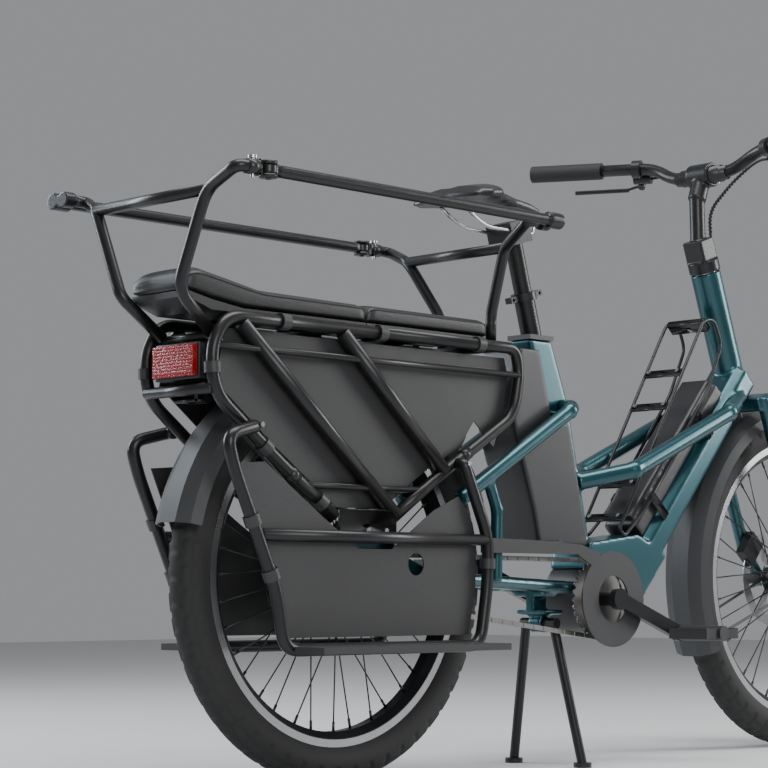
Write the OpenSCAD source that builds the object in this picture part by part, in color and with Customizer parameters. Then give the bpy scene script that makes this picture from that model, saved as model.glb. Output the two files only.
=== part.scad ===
// Longtail electric cargo bicycle: a welded step-through frame with two batteries, a long
// tubular passenger rack with two cushions and a swing-out handrail, 24 inch wheels and a
// two-leg centre stand. Millimetres, +X is the riding direction, +Y the bicycle's left,
// +Z up. The origin is the middle of the bicycle's outline, on the ground.

/* [Wheels] */
// Radius of both wheels over the tyre
wheel_r = 313; // [300:1:318]
// Width of the tyre
tyre_w = 60; // [50:1:62]
// Distance between the two wheel axles
wheelbase = 1192; // [1180:1:1260]
// Radius of the seat that the tyre's bead rests on
bead_r = 253.5; // [246:0.5:254]
// Outer width of the rim
rim_w = 36; // [32:1:38]
// Depth of the rim's box section inside the bead seat
rim_depth = 18; // [12:1:22]
// Spokes in each wheel
spoke_count = 36; // [24:4:36]
// Spoke diameter
spoke_d = 2.3; // [1.8:0.1:2.6]
// Brake rotor diameter
rotor_d = 180; // [160:20:180]
// Brake rotor thickness
rotor_t = 1.8; // [1.6:0.1:2.3]
// Axle diameter
axle_d = 12; // [10:0.5:14]

/* [Frame] */
// Forward place of the top of the head tube, measured from the rear axle
head_top_x = 948; // [940:1:1000]
// Height of the top of the head tube
head_top_z = 878; // [860:1:900]
// Head angle, from level ground
head_angle = 70; // [69:0.5:71]
// Length of the head tube
head_len = 242; // [230:1:244]
// Outer diameter of the head tube
head_d = 56; // [52:1:60]
// Width of the down tube
down_w = 84; // [80:1:88]
// Depth of the down tube
down_h = 62; // [56:1:62]
// Diameter of the two mid tubes
mid_d = 30; // [26:1:32]
// Diameter of the seat stays
stay_d = 26; // [22:1:28]
// Diameter of the chain stays
chainstay_d = 22; // [18:1:22]
// Width of the seat mast
mast_w = 48; // [46:1:56]
// Forward place of the bottom bracket, measured from the rear axle
bb_x = 572; // [568:1:576]
// Height of the bottom bracket
bb_z = 276; // [272:1:280]

/* [Rack] */
// Diameter of the rack's main tubes
rack_d = 19; // [16:0.5:20]
// Distance from the middle to each side loop of the rack
rack_y = 75; // [75:1:84]
// Diameter of the slanting struts of the rack
strut_d = 22; // [18:1:23]
// Diameter of the thin luggage rails
rail_d = 10; // [8:1:12]
// Height of the rack's top tubes
deck_z = 682; // [676:1:688]
// Distance from the middle to each lower guard loop
guard_y = 109; // [104:1:114]
// Height of the bottom of the guard loops
guard_low_z = 205; // [195:1:215]
// Thickness of the side panels
panel_t = 2; // [1.5:0.1:3]
// Thickness of the footboards
board_t = 10; // [8:1:12]

/* [Handrail] */
// Diameter of the handrail's tubes
hand_d = 18; // [16:1:19]
// Height of the side bars
hand_z = 870; // [850:1:900]
// Distance from the middle to each side bar
hand_y = 207; // [190:1:220]
// Diameter of the pivot pins of the side bars
pivot_d = 8; // [6:0.5:9]

/* [Seat] */
// Seat angle, from level ground
seat_angle = 74; // [73:0.5:75]
// Diameter of the lower stage of the seat post
post_d = 34.9; // [31.6:0.1:35]
// Diameter of the upper stage of the seat post
post_up_d = 30; // [27.2:0.1:30]
// Width of the passenger cushions
cushion_w = 132; // [120:1:140]
// Height of the top of the cushions
cushion_z = 726; // [720:1:740]

/* [Drive] */
// Teeth on the chainring
ring_teeth = 32; // [28:1:34]
// Teeth on the rear sprocket
cog_teeth = 16; // [14:1:20]
// Distance of the chain from the middle
chain_y = 50; // [49:0.5:51]
// Length of a crank arm between its bores
crank_len = 170; // [160:5:175]

/* [Handlebar] */
// Overall width of the handlebar with its grips
bar_w = 700; // [660:10:740]
// Diameter of the handlebar at the stem
bar_d = 31.8; // [25.4:0.1:31.8]
// Diameter of the handlebar's sides, under the grips
bar_end_d = 22.2; // [21:0.1:23]
// Height of the middle of the handlebar
bar_z = 1058; // [1050:1:1090]

/* [Fits] */
// Radial clearance of running and sliding fits
run_gap = 0.05; // [0.02:0.01:0.1]
// Clearance between pieces that only sit side by side
seat_gap = 0.3; // [0.2:0.05:0.5]

/* [Hidden] */
$fn = 48;
// a knuckle swallows the mitre of every turn up to 2 * acos(1 / knuckle_swell)
knuckle_swell = 1.12;
sharp_turn = 52;

black = "#1c1d1f";
teal = "#14474f";
grey = "#3a3c3f";
silver = "#b9bcc0";

hub_z = wheel_r;
// rear hoop of the handrail and the end cap of the left side bar behind it
rear_hoop_x = -361;
cap_len = 30;
cap_gap = 0.6;
barrel_len = 19;
left_cap_x = rear_hoop_x - 2 - cap_gap - barrel_len + cap_len;
// the outline runs from the left side bar's cap to the front of the front tyre
x_mid = (wheelbase + wheel_r + left_cap_x - cap_len) / 2;

// Every sub-part is drawn in the rear axle's frame and brought to the shared origin here.
module placed() {
    translate([-x_mid, 0, 0]) children();
}

function unit(v) = v / norm(v);
function mirror_y(p) = [p[0], -p[1], p[2]];

// Round bar from a to b
module rod(a, b, d) {
    v = b - a;
    translate(a)
        rotate([0, acos(v[2] / norm(v)), atan2(v[1], v[0])])
        cylinder(h = norm(v), d = d);
}

// Bar along Y between y0 and y1 at the place x, z
module cross_rod(x, z, y0, y1, d) {
    translate([x, y0, z]) rotate([-90, 0, 0]) cylinder(h = y1 - y0, d = d);
}

// Plate with the outline pts in the XZ plane, between y0 and y1
module side_plate(pts, y0, y1) {
    translate([0, y1, 0]) rotate([90, 0, 0]) linear_extrude(height = y1 - y0) polygon(pts);
}

module both_sides() {
    children();
    mirror([0, 1, 0]) children();
}

// Corner points of a bent tube. A corner that turns by less than sharp_turn stays one point; a
// sharper one is cut back by r * tan(half its turn) on both sides, where its bend starts and ends.
function bent(pts, r) = [for (i = [0 : len(pts) - 1]) each
    (i == 0 || i == len(pts) - 1) ? [pts[i]] :
    let (u = unit(pts[i] - pts[i - 1]), v = unit(pts[i + 1] - pts[i]), turn = acos(u * v),
        cut = r * tan(turn / 2))
    turn < sharp_turn ? [pts[i]] : [pts[i] - u * cut, pts[i] + v * cut]];

// Bent round tube along pts: straight stretches joined by slightly swollen round knuckles
module tube(pts, d, r) {
    path = bent(pts, r);
    for (i = [1 : len(path) - 1]) rod(path[i - 1], path[i], d);
    for (i = [1 : len(path) - 2]) translate(path[i]) sphere(d = d * knuckle_swell);
}

// ---------------------------------------------------------------- steering and seat axes

head_top = [head_top_x, 0, head_top_z];
head_dir = [cos(head_angle), 0, -sin(head_angle)];
head_low = head_top + head_dir * head_len;

// Draws its children with the origin at the top of the head tube and Z up the steering axis
module on_head() {
    translate(head_top) rotate([0, head_angle - 90, 0]) children();
}

mast_top_z = 710;
post_x = 464;
post_base = [post_x, 0, mast_top_z];
post_in = 108;
bore_depth = 114;

// Draws its children with the origin where the seat post enters the mast, Z up the post
module on_post() {
    translate(post_base) rotate([0, seat_angle - 90, 0]) children();
}

// ---------------------------------------------------------------- down tube

down_foot = [702, 0, 277];
down_angle = 48.1;

// Draws its children with X along the down tube's lower edge and Z towards the battery
module on_down() {
    translate(down_foot) rotate([0, -down_angle, 0]) children();
}

// Bar of rectangular section w x h with chamfered edges, along X from x0 to x1, on z0
module chamfer_bar(x0, x1, w, z0, h, c) {
    translate([x0, 0, z0]) rotate([90, 0, 90])
        linear_extrude(height = x1 - x0)
        polygon([[-w / 2 + c, 0], [w / 2 - c, 0], [w / 2, c], [w / 2, h - c],
            [w / 2 - c, h], [-w / 2 + c, h], [-w / 2, h - c], [-w / 2, c]]);
}

mid_y = 63;
mid_path = [[1000, 36, 645], [930, mid_y, 612], [655, mid_y, 497], [552, 20, 474]];
motor_r = 62;
motor_x = bb_x + 26;
motor_z = bb_z + 4;
mast_outline = [[430, mast_top_z], [487, mast_top_z], [528, 607], [590, 340], [564, 340],
    [506, 588], [464, 588]];
shell_outline = [[548, 300], [562, 372], [692, 388], [770, 352], [702, 277], [655, 224],
    [536, 224]];

module motor_space() {
    cross_rod(motor_x, motor_z, -down_w, down_w, 2 * (motor_r + seat_gap));
}

module front_frame() {
    color(teal) placed() difference() {
        union() {
            on_head() translate([0, 0, -head_len]) cylinder(h = head_len, d = head_d);
            on_down() chamfer_bar(-10, 520, down_w, 0, down_h, 14);
            side_plate(mast_outline, -mast_w / 2, mast_w / 2);
            side_plate(shell_outline, -down_w / 2, down_w / 2);
            both_sides() tube(mid_path, mid_d, 60);
        }
        // bore for the steerer and the two bearing seats
        on_head() translate([0, 0, -head_len - 1]) cylinder(h = head_len + 2, d = steerer_d + 8);
        on_head() translate([0, 0, -bearing_h]) cylinder(h = bearing_h + 1, d = bearing_d);
        on_head() translate([0, 0, -head_len - 1]) cylinder(h = bearing_h + 1, d = bearing_d);
        // room for the fork crown under the head tube
        on_head() translate([0, 0, -head_len - 90]) cylinder(h = 90, d = 170);
        // bore for the seat post
        on_post() translate([0, 0, -bore_depth]) cylinder(h = bore_depth + 60, d = post_d + 2 * run_gap);
        // cradle for the motor, open below
        motor_space();
        translate([motor_x - motor_r - seat_gap, -down_w, motor_z - 80])
            cube([2 * (motor_r + seat_gap), 2 * down_w, 80]);
    }
}

// ---------------------------------------------------------------- rear frame

stay_path = [[518, 18, 602], [494, 62, 594], [214, 66, 434]];
chainstay_ends = [[546, 30, 294], [120, 73, 311]];
strut_path = [[282, 65, 468], [301, 66, 419], [297, 67, 304]];
drop_y = 72;
drop_t = 8;
drop_outline = [[-24, 296], [-46, 394], [44, 396], [60, 350], [128, 326], [132, 294], [20, 288]];
stand_x = 478;
stand_z = 236;
stand_bar_d = 18;
stand_sleeve = 14;

module rear_frame() {
    color(teal) placed() difference() {
        union() {
            both_sides() {
                tube(stay_path, stay_d, 16);
                rod(chainstay_ends[0], chainstay_ends[1], chainstay_d);
                tube(strut_path, chainstay_d - 2, 40);
                side_plate(drop_outline, drop_y, drop_y + drop_t);
            }
            // bridge behind the mast and the plate that carries the stand
            cross_rod(420, 298, -38, 38, 15);
            translate([stand_x - 26, -30, stand_z + 14]) cube([52, 60, 8]);
            translate([stand_x - 26, -35, 280]) cube([30, 70, 12]);
            translate([stand_x - 26, -8, stand_z + 20]) cube([36, 16, 42]);
            cross_rod(stand_x, stand_z, -stand_sleeve, stand_sleeve, stand_bar_d + 14);
        }
        side_plate(mast_outline, -mast_w / 2, mast_w / 2);
        side_plate(shell_outline, -down_w / 2 - 1, down_w / 2 + 1);
        motor_space();
        cross_rod(stand_x, stand_z, -40, 40, stand_bar_d + 2 * run_gap);
        cross_rod(0, hub_z, -100, 100, axle_d + 2 * run_gap);
    }
}

// ---------------------------------------------------------------- rack

rack_rear = [[30, rack_y, deck_z], [-278, rack_y, deck_z], [-306, rack_y, 640],
    [-303, rack_y, 572], [-181, rack_y, 479], [-66, rack_y, 401]];
rack_front = [[29, rack_y, deck_z], [338, rack_y, deck_z], [346, rack_y, 640],
    [331, rack_y, 572], [283, rack_y, 543], [153, rack_y, 466], [56, rack_y, 401]];
deck_cross_x = [-200, -60, 120, 296];
deck_cross_d = 16;
tail_bar = [-289, 654];
// the struts' inner sides are flush with the main tubes', where the side panels lie
strut_y = rack_y + (strut_d - rack_d) / 2;

module rack_side() {
    tube(rack_rear, rack_d, 26);
    tube(rack_front, rack_d, 24);
    rod([-252, strut_y, deck_z - 8], [61, strut_y, 404], strut_d);
    rod([-52, strut_y, deck_z - 6], [168, strut_y, 476], strut_d);
    rod([-303, rack_y + 4, 638], [342, rack_y + 4, 638], rail_d);
    rod([-128, rack_y, 445], [118, rack_y, 445], rail_d);
    side_plate([[-74, 404], [-52, 360], [46, 360], [66, 404], [50, 416], [-58, 416]],
        drop_y + drop_t + seat_gap, drop_y + drop_t + seat_gap + 5);
}

module rack_frame() {
    color(black) placed() {
        both_sides() rack_side();
        for (x = deck_cross_x) cross_rod(x, deck_z, -rack_y, rack_y, deck_cross_d);
        cross_rod(-303.5, 577, -rack_y, rack_y, rack_d - 2);
        cross_rod(tail_bar[0], tail_bar[1], -rack_y, rack_y, 14);
        // gusset from the tail down to the fender
        difference() {
            side_plate([[-300, 575], [-262, 592], [-232, 560], [-246, 548]], -28, 28);
            rear_fender_space();
        }
    }
}

// ---------------------------------------------------------------- guard loops, boards, panels

clamp_y = rack_y + rack_d / 2 + seat_gap;
// each loop ends in two short stubs that point at the rack's tubes
stub_y = 99;
stub_rear = [-243, stub_y, 524];
stub_front = [190, stub_y, 487.9];
guard_path = [stub_rear, [-306, guard_y, 508], [-292, guard_y, 462], [-212, guard_y, 291], [-196, guard_y, guard_low_z],
    [214, guard_y, guard_low_z], [231, guard_y, 300], [233, guard_y, 372],
    [208, guard_y, 426], stub_front];

module guard_loops() {
    color(black) placed() both_sides() {
        tube(guard_path, rack_d, 17);
        rod([-240, guard_y, 369], [234, guard_y, 369], rack_d - 1);
        for (p = [stub_rear, stub_front]) {
            translate(p) sphere(d = rack_d * knuckle_swell);
            cross_rod(p[0], p[2], clamp_y, stub_y, rack_d - 2);
        }
    }
}

module footboards() {
    color(black) placed() both_sides()
        translate([-186, guard_y + rack_d / 2 * knuckle_swell + seat_gap, guard_low_z - board_t / 2])
        cube([392, 62, board_t]);
}

upper_panel = [[-268, deck_z - 16], [-278, 640], [-290, 588], [-176, 500], [-52, 414],
    [40, 414], [146, 480], [215, 516], [250, 560], [296, 520], [322, 590], [330, 640],
    [322, deck_z - 16]];
lower_panel = [[-276, 470], [-226, 474], [-110, 396], [-38, 352], [30, 352], [120, 412],
    [176, 436], [204, 404], [216, 368], [214, 296], [198, 222], [-180, 222], [-196, 292]];
panel_y = rack_y - rack_d / 2 * knuckle_swell - seat_gap - panel_t;
low_panel_y = guard_y - rack_d / 2 - seat_gap - panel_t;

module side_panels() {
    color(black) placed() both_sides() {
        side_plate(upper_panel, panel_y, panel_y + panel_t);
        difference() {
            side_plate(lower_panel, low_panel_y, low_panel_y + panel_t);
            cross_rod(82, 330, 0, 200, 34);
        }
    }
}

// Clip round a tube: places as [point on the tube's axis, direction of the tube]
rack_clips = [[[-170, rack_y, deck_z], [1, 0, 0]], [[30, rack_y, deck_z], [1, 0, 0]],
    [[250, rack_y, deck_z], [1, 0, 0]], [[-304.5, rack_y, 606], [-0.044, 0, 1]],
    [[-205, rack_y, 497.3], [122, 0, -93]], [[-96, rack_y, 421.35], [115, 0, -78]]];
guard_clips = [[[-258, guard_y, 389.3], [-80, 0, 171]], [[-222, guard_y, 312.4], [-80, 0, 171]],
    [[231.9, guard_y, 332], [2, 0, 72]]];

module clip(at, dir, inward) {
    difference() {
        rod(at - unit(dir) * 8, at + unit(dir) * 8, rack_d + 6);
        rod(at - unit(dir) * 9, at + unit(dir) * 9, rack_d + 0.2);
        translate(at + [-20, -40 - rack_d / 2 - inward, -20]) cube([40, 40, 40]);
    }
}

module panel_clips() {
    color(black) placed() both_sides() {
        for (c = rack_clips) clip(c[0], c[1], -0.6);
        for (c = guard_clips) clip(c[0], c[1], -0.6);
    }
}

// ---------------------------------------------------------------- fenders

fender_profile = [[306, 47], [322, 40], [333, 18], [333, -18], [322, -40], [306, -47],
    [306, -44.5], [320, -38], [330.5, -17], [330.5, 17], [320, 38], [306, 44.5]];
fender_from = 22;
fender_to = 167;

// Curved guard over a wheel: the profile swept round the axle from one angle to another
module fender_arc(x, from, to, profile) {
    translate([x, 0, hub_z]) rotate([90, 0, 0]) rotate([0, 0, from])
        rotate_extrude(angle = to - from, $fn = 96) polygon(profile);
}

module rear_fender_space() {
    translate([0, 0, hub_z]) rotate([90, 0, 0])
        cylinder(h = 120, r = 333 + seat_gap, center = true, $fn = 96);
}

module rear_fender() {
    color(grey) placed() {
        fender_arc(0, fender_from, fender_to, fender_profile);
        // wire stays from the fender's edge to the dropouts
        both_sides() rod([-232, 50, 520], [-30, 68, 344], 5);
        both_sides() rod([-232, 45.5, 520], [-232, 52.4, 520], 9);
        both_sides() rod([-30, 66, 344], [-30, drop_y - seat_gap, 344], 10);
    }
}

// ---------------------------------------------------------------- rear light

light_z = 596;
light_h = 46;
light_x = -309;

module rear_light_body() {
    color(black) placed() union() {
        translate([light_x, -50, light_z - 4]) cube([20, 100, light_h + 8]);
        translate([light_x + 8, -(rack_y - rack_d / 2 - seat_gap), light_z + 8])
            cube([10, 2 * (rack_y - rack_d / 2 - seat_gap), 20]);
    }
}

module rear_light_lens() {
    color("#b01018") placed()
        translate([light_x - 8 - seat_gap, -46, light_z]) cube([8, 92, light_h]);
}

// ---------------------------------------------------------------- cushions

split_x = 12;
base_z = deck_z + deck_cross_d / 2 + seat_gap;
base_t = 7;
pad_z = base_z + base_t + seat_gap;
tail_base = [[-343, 706], [-296, base_z], [split_x - 1, base_z], [split_x - 1, base_z + base_t],
    [-236, base_z + base_t], [-296, base_z + 15], [-343, 715]];
front_end_x = 284;
tail_pad = [[-344, 716], [-339, 741], [-318, 751], [-262, 741], [-200, cushion_z + 2],
    [split_x - 1, cushion_z], [split_x - 1, pad_z], [-237, pad_z], [-296, pad_z + 9]];

module cushion_bases() {
    color(black) placed() difference() {
        union() {
            side_plate(tail_base, -cushion_w / 2 + 4, cushion_w / 2 - 4);
            translate([split_x + 1, -cushion_w / 2 + 4, base_z])
                cube([front_end_x - split_x - 4, cushion_w - 8, base_t]);
        }
        hoop_legs_space();
    }
}

module cushion_rear() {
    color(black) placed() side_plate(tail_pad, -cushion_w / 2, cushion_w / 2);
}

module cushion_front() {
    color(black) placed()
        translate([split_x + 1, -cushion_w / 2, pad_z])
        cube([front_end_x - split_x, cushion_w, cushion_z - pad_z]);
}

// ---------------------------------------------------------------- handrail

front_hoop_x = 275;
knuckle_gap = 0.3;
eye_h = 13;
ear_h = 5;
ear_r = 13;
latch_hole_d = 6.4;
cap_d = 26;
// distance from the middle to the hoops' free ends, beside the side bars
inner_y = hand_y - cap_d;
rear_turn_x = rear_hoop_x - 14;
front_turn_x = front_hoop_x + 54;
right_pivot = [-318, -hand_y, hand_z];
left_pivot = [262, hand_y, hand_z];
hoop_foot_rear = [tail_bar[0] - 2, 55, tail_bar[1] + 4];
hoop_foot_front = [deck_cross_x[3] + 5, 54, deck_z + 4];
rear_leg = [hoop_foot_rear, [rear_hoop_x, 65, 714], [rear_hoop_x, 126, 848]];
front_leg = [hoop_foot_front, [301, 55, 736], [front_hoop_x, 109, 837]];

// Place of the detent pin beside the swivel at pivot
function latch_at(pivot, dir) = [pivot[0] + dir * (ear_r + 16), pivot[1], hand_z];

// Fork of a swivel on the side dir of its pivot: two ears, the neck behind them and the pin
module clevis(at, dir) {
    tall = eye_h + 2 * ear_h + 2 * knuckle_gap;
    translate(at) {
        difference() {
            union() {
                translate([0, 0, -tall / 2]) cylinder(h = tall, r = ear_r);
                translate([dir < 0 ? -ear_r - 11 : 0, -ear_r + 3, -tall / 2])
                    cube([ear_r + 11, 2 * ear_r - 6, tall]);
            }
            translate([0, 0, -eye_h / 2 - knuckle_gap])
                cylinder(h = eye_h + 2 * knuckle_gap, r = ear_r + 1.5);
        }
        translate([0, 0, -tall / 2 - 2]) cylinder(h = tall + 4, d = pivot_d);
    }
}

module hoop_legs_space() {
    both_sides() rod(rear_leg[1], rear_leg[0], hand_d + 2);
}

// One hoop. The leg of the side swivel_side turns at turn_x into the clevis at pivot, and the
// other leg ends in a stub that points along dir, beside the end cap of the other side bar.
module hoop(leg, pivot, turn_x, dir, bar_z_at) {
    hoop_x = leg[2][0];
    turned = [turn_x, hand_y, hand_z];
    to_pivot = [pivot[0] + dir * (ear_r + 10), hand_y, hand_z];
    stub = [[hoop_x - dir * 24, inner_y, hand_z], [hoop_x + dir * 2, inner_y, hand_z]];
    flip = pivot[1] < 0 ? 1 : 0;
    difference() {
        union() {
            mirror([0, flip, 0]) tube(concat(leg, [turned, to_pivot]), hand_d, 17);
            mirror([0, 1 - flip, 0]) tube(concat(leg, stub), hand_d, 9);
            cross_rod(hoop_x, bar_z_at, -leg[2][1], leg[2][1], hand_d);
        }
        translate(latch_at(pivot, dir) - [0, 0, 20]) cylinder(h = 40, d = latch_hole_d);
    }
    clevis(pivot, dir);
}

module handrail_hoops() {
    color(black) placed() difference() {
        union() {
            hoop(rear_leg, right_pivot, rear_turn_x, -1, rear_leg[2][2]);
            hoop(front_leg, left_pivot, front_turn_x, 1, front_leg[2][2]);
        }
        cross_rod(tail_bar[0], tail_bar[1], -rack_y, rack_y, 14 + 2 * seat_gap);
        cross_rod(deck_cross_x[3], deck_z, -rack_y, rack_y, deck_cross_d + 2 * seat_gap);
    }
}

// Side bar from its eye at pivot to its end cap; dir points from the bar to its swivel
module side_bar(pivot, cap_x, dir) {
    side = pivot[1] < 0 ? -1 : 1;
    difference() {
        union() {
            translate(pivot - [0, 0, eye_h / 2]) cylinder(h = eye_h, r = ear_r - 1);
            rod([pivot[0] - dir * (ear_r + 2), pivot[1], hand_z], [cap_x, pivot[1], hand_z], hand_d);
            translate([pivot[0] - (dir > 0 ? ear_r + 6 : 0), pivot[1] - 8, hand_z - eye_h / 2])
                cube([ear_r + 6, 16, eye_h]);
            rod([cap_x, pivot[1], hand_z], [cap_x - dir * cap_len, pivot[1], hand_z], cap_d);
            rod([cap_x - dir * (cap_len - barrel_len), side * inner_y, hand_z],
                [cap_x - dir * cap_len, side * inner_y, hand_z], cap_d - 2);
            translate([cap_x - (dir > 0 ? cap_len : barrel_len - cap_len),
                side > 0 ? inner_y : -hand_y, hand_z - 8])
                cube([barrel_len, hand_y - inner_y, 16]);
        }
        translate(pivot - [0, 0, 20]) cylinder(h = 40, d = pivot_d + 2 * run_gap);
    }
}

right_cap_x = front_hoop_x + 2 + cap_gap + barrel_len - cap_len;

module side_bar_right() {
    color(black) placed() side_bar(right_pivot, right_cap_x, -1);
}

module side_bar_left() {
    color(black) placed() side_bar(left_pivot, left_cap_x, 1);
}

// Pull pin that stands through the hoop's tube, with a ring above
module latch_pin(at) {
    translate(at) {
        translate([0, 0, -hand_d / 2 - 6]) cylinder(h = hand_d + 12, d = latch_hole_d - 2 * run_gap);
        translate([0, 0, hand_d / 2 + 3]) cylinder(h = 4, d = 13);
    }
}

module latch_pin_right() {
    color(silver) placed() latch_pin(latch_at(right_pivot, -1));
}

module latch_pin_left() {
    color(silver) placed() latch_pin(latch_at(left_pivot, 1));
}

// ---------------------------------------------------------------- seat post and saddle

collar_t = 8;
post_out = 84;
post_up_in = 92;
post_up_out = 176;
saddle_at = [372, 0, 902];

module mast_collar() {
    color(black) placed() difference() {
        translate([430, -mast_w / 2 - 2, mast_top_z + seat_gap]) cube([59, mast_w + 4, collar_t]);
        on_post() translate([0, 0, -40]) cylinder(h = 100, d = post_d + 2 * run_gap);
    }
}

module seatpost_lower() {
    color(black) placed() on_post() difference() {
        union() {
            translate([0, 0, -post_in]) cylinder(h = post_in + post_out, d = post_d);
            translate([0, 0, post_out - 14]) cylinder(h = 14, d = post_d + 8);
            // two lugs of the collar, drilled for its screws
            for (s = [-1, 1]) difference() {
                translate([s < 0 ? -40 : 12, -7, post_out - 12]) cube([28, 14, 10]);
                translate([s * 34, -8, post_out - 7]) rotate([-90, 0, 0]) cylinder(h = 16, d = 6);
            }
        }
        translate([0, 0, -post_in - 1]) cylinder(h = 400, d = post_up_d + 2 * run_gap);
    }
}

module seatpost_upper() {
    color(black) placed() {
        on_post() translate([0, 0, post_out - post_up_in])
            cylinder(h = post_up_in + post_up_out - post_out, d = post_up_d);
        // head of the post and its rail clamp
        on_post() difference() {
            translate([-30, -28, post_up_out - 8]) cube([48, 56, 38]);
            for (s = [-1, 1]) on_post_rail(s);
        }
    }
}

rail_y = 22;
rail_wire = 7;
rail_h = post_up_out + 10;

// The straight stretch of a saddle rail where the post's clamp holds it
module on_post_rail(s) {
    translate([0, s * rail_y, rail_h]) rotate([0, 90 - (seat_angle - 90), 0])
        cylinder(h = 200, d = rail_wire + 2 * run_gap, center = true);
}

rail_z = mast_top_z + sin(seat_angle) * rail_h;
rail_path = [[268, 26, 918], [300, 24, 898], [330, rail_y, rail_z], [442, rail_y, rail_z],
    [455, 14, 906], [462, 8, 924]];

module saddle_rails() {
    color(silver) placed() both_sides() tube(rail_path, rail_wire, 14);
}

saddle_side = [[247, 925], [262, 945], [300, 956], [380, 950], [440, 944], [474, 932],
    [468, 922], [380, 930], [270, 920]];
saddle_top = [[247, -50], [252, -78], [275, -88], [305, -82], [350, -42], [400, -24], [464, -19],
    [475, -8], [475, 8], [464, 19], [400, 24], [350, 42], [305, 82], [275, 88], [252, 78],
    [247, 50]];

module saddle() {
    color(black) placed() difference() {
        intersection() {
            side_plate(saddle_side, -100, 100);
            translate([0, 0, 880]) linear_extrude(height = 100) polygon(saddle_top);
        }
        both_sides() tube(rail_path, rail_wire + 2 * seat_gap, 14);
    }
}

// ---------------------------------------------------------------- batteries and their carrier

battery_w = 74;
battery_from = 86;
battery_to = 440;

module down_tube_battery() {
    color(black) placed() on_down() {
        chamfer_bar(battery_from, battery_to, battery_w, down_h + seat_gap, 34, 6);
        chamfer_bar(battery_from + 8, battery_to - 4, battery_w - 8,
            down_h + 34 + 2 * seat_gap, 13, 5);
    }
}

carrier_y = 42;
wire_d = 6;
// side loop of the carrier in the down tube's own frame
carrier_path = [[262, 102], [404, 107], [500, 132], [520, 178], [497, 199], [46, 127], [47, 108],
    [120, 97], [262, 102]];
bracket_x = [70, 140, 306, 380];

module battery_carrier() {
    color(black) placed() on_down() {
        both_sides() {
            tube([for (p = carrier_path) [p[0], -carrier_y, p[1]]], wire_d, 6);
            // sleeve over the two ends of the wire
            rod([carrier_path[0][0] - 9, -carrier_y, 101.5], [carrier_path[0][0] + 9, -carrier_y, 102.5], wire_d + 3);
        }
        for (x = bracket_x)
            translate([x - 8, -carrier_y, carrier_top(x) - 2]) cube([16, 2 * carrier_y, 6]);
        both_sides() for (x = [150, 350])
            translate([x - 9, -carrier_y - 4, down_h - 16]) cube([18, 4 - seat_gap, 56]);
        translate([497 - 6, -carrier_y, 199 - 26]) cube([12, 2 * carrier_y, 27]);
    }
}

// Height of the carrier's upper wire over the down tube's lower edge
function carrier_top(x) = 127 + (x - 46) * (199 - 127) / (497 - 46);

mast_battery_w = 84;
mast_battery = [[388, 690], [435.2, 690], [463.4, 588.5], [463.4, 570], [509.8, 570], [556, 372.5],
    [550, 366], [432, 366], [420, 420], [372, 560], [370, 640]];

module mast_battery() {
    color(black) placed()
        side_plate(mast_battery, -mast_battery_w / 2, mast_battery_w / 2);
}

// ---------------------------------------------------------------- motor, cranks and chain

pitch = 12.7;
ring_r = pitch / 2 / sin(180 / ring_teeth);
cog_r = pitch / 2 / sin(180 / cog_teeth);
roller_r = 3.9;
chain_gap = 0.4;
spindle_d = 24;
motor_w = 84;
arm_y = 88;
arm_t = 12;
pedal_axle_d = 14;
crank_turn = 20;

module motor_unit() {
    color(black) placed() difference() {
        union() {
            cross_rod(motor_x, motor_z, -motor_w / 2, motor_w / 2, 2 * motor_r);
            cross_rod(bb_x, bb_z, -motor_w / 2 - 1, motor_w / 2 + 1, 54);
        }
        cross_rod(bb_x, bb_z, -60, 60, spindle_d + 2 * run_gap);
    }
}

// Crank arm of the side s, turned by a degrees from straight forward
module crank_arm(s, a) {
    translate([bb_x, s * (arm_y + arm_t / 2), bb_z]) rotate([0, a, 0]) rotate([90, 0, 0])
        difference() {
            union() {
                cylinder(h = arm_t, d = 36, center = true);
                translate([crank_len, 0, 0]) cylinder(h = arm_t, d = 28, center = true);
                translate([0, -12, -arm_t / 2]) cube([crank_len, 24, arm_t]);
            }
            translate([crank_len, 0, 0])
                cylinder(h = arm_t + 2, d = pedal_axle_d + 2 * run_gap, center = true);
        }
}

module crank_set() {
    color(black) placed() union() {
        cross_rod(bb_x, bb_z, -arm_y - arm_t, arm_y + arm_t, spindle_d);
        crank_arm(-1, crank_turn);
        crank_arm(1, crank_turn + 180);
    }
}

module chainring() {
    color(silver) placed() difference() {
        union() {
            cross_rod(bb_x, bb_z, -chain_y - 1.2, -chain_y + 1.2,
                2 * (ring_r - roller_r - chain_gap));
            cross_rod(bb_x, bb_z, -chain_y - 8, -motor_w / 2 - 2, 50);
        }
        cross_rod(bb_x, bb_z, -100, 0, spindle_d + 2 * run_gap);
    }
}

function pedal_at(s) = [bb_x + s * crank_len * -cos(crank_turn), 0,
    bb_z + s * crank_len * sin(crank_turn)];

// Pedal of the side s: its axle, which turns in the crank arm, and its platform
module pedal(s) {
    c = pedal_at(s);
    y0 = arm_y + arm_t + 1;
    mirror([0, s < 0 ? 1 : 0, 0]) {
        cross_rod(c[0], c[2], arm_y + seat_gap, y0 + 4, pedal_axle_d);
        cross_rod(c[0], c[2], y0, y0 + 92, 26);
        for (x = [-44, 34]) translate([c[0] + x, y0 + 8, c[2] - 9]) cube([10, 80, 18]);
        for (y = [8, 76]) translate([c[0] - 44, y0 + y, c[2] - 8]) cube([88, 12, 16]);
    }
}

module pedal_left() {
    color(black) placed() pedal(1);
}

module pedal_right() {
    color(black) placed() pedal(-1);
}

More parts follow.
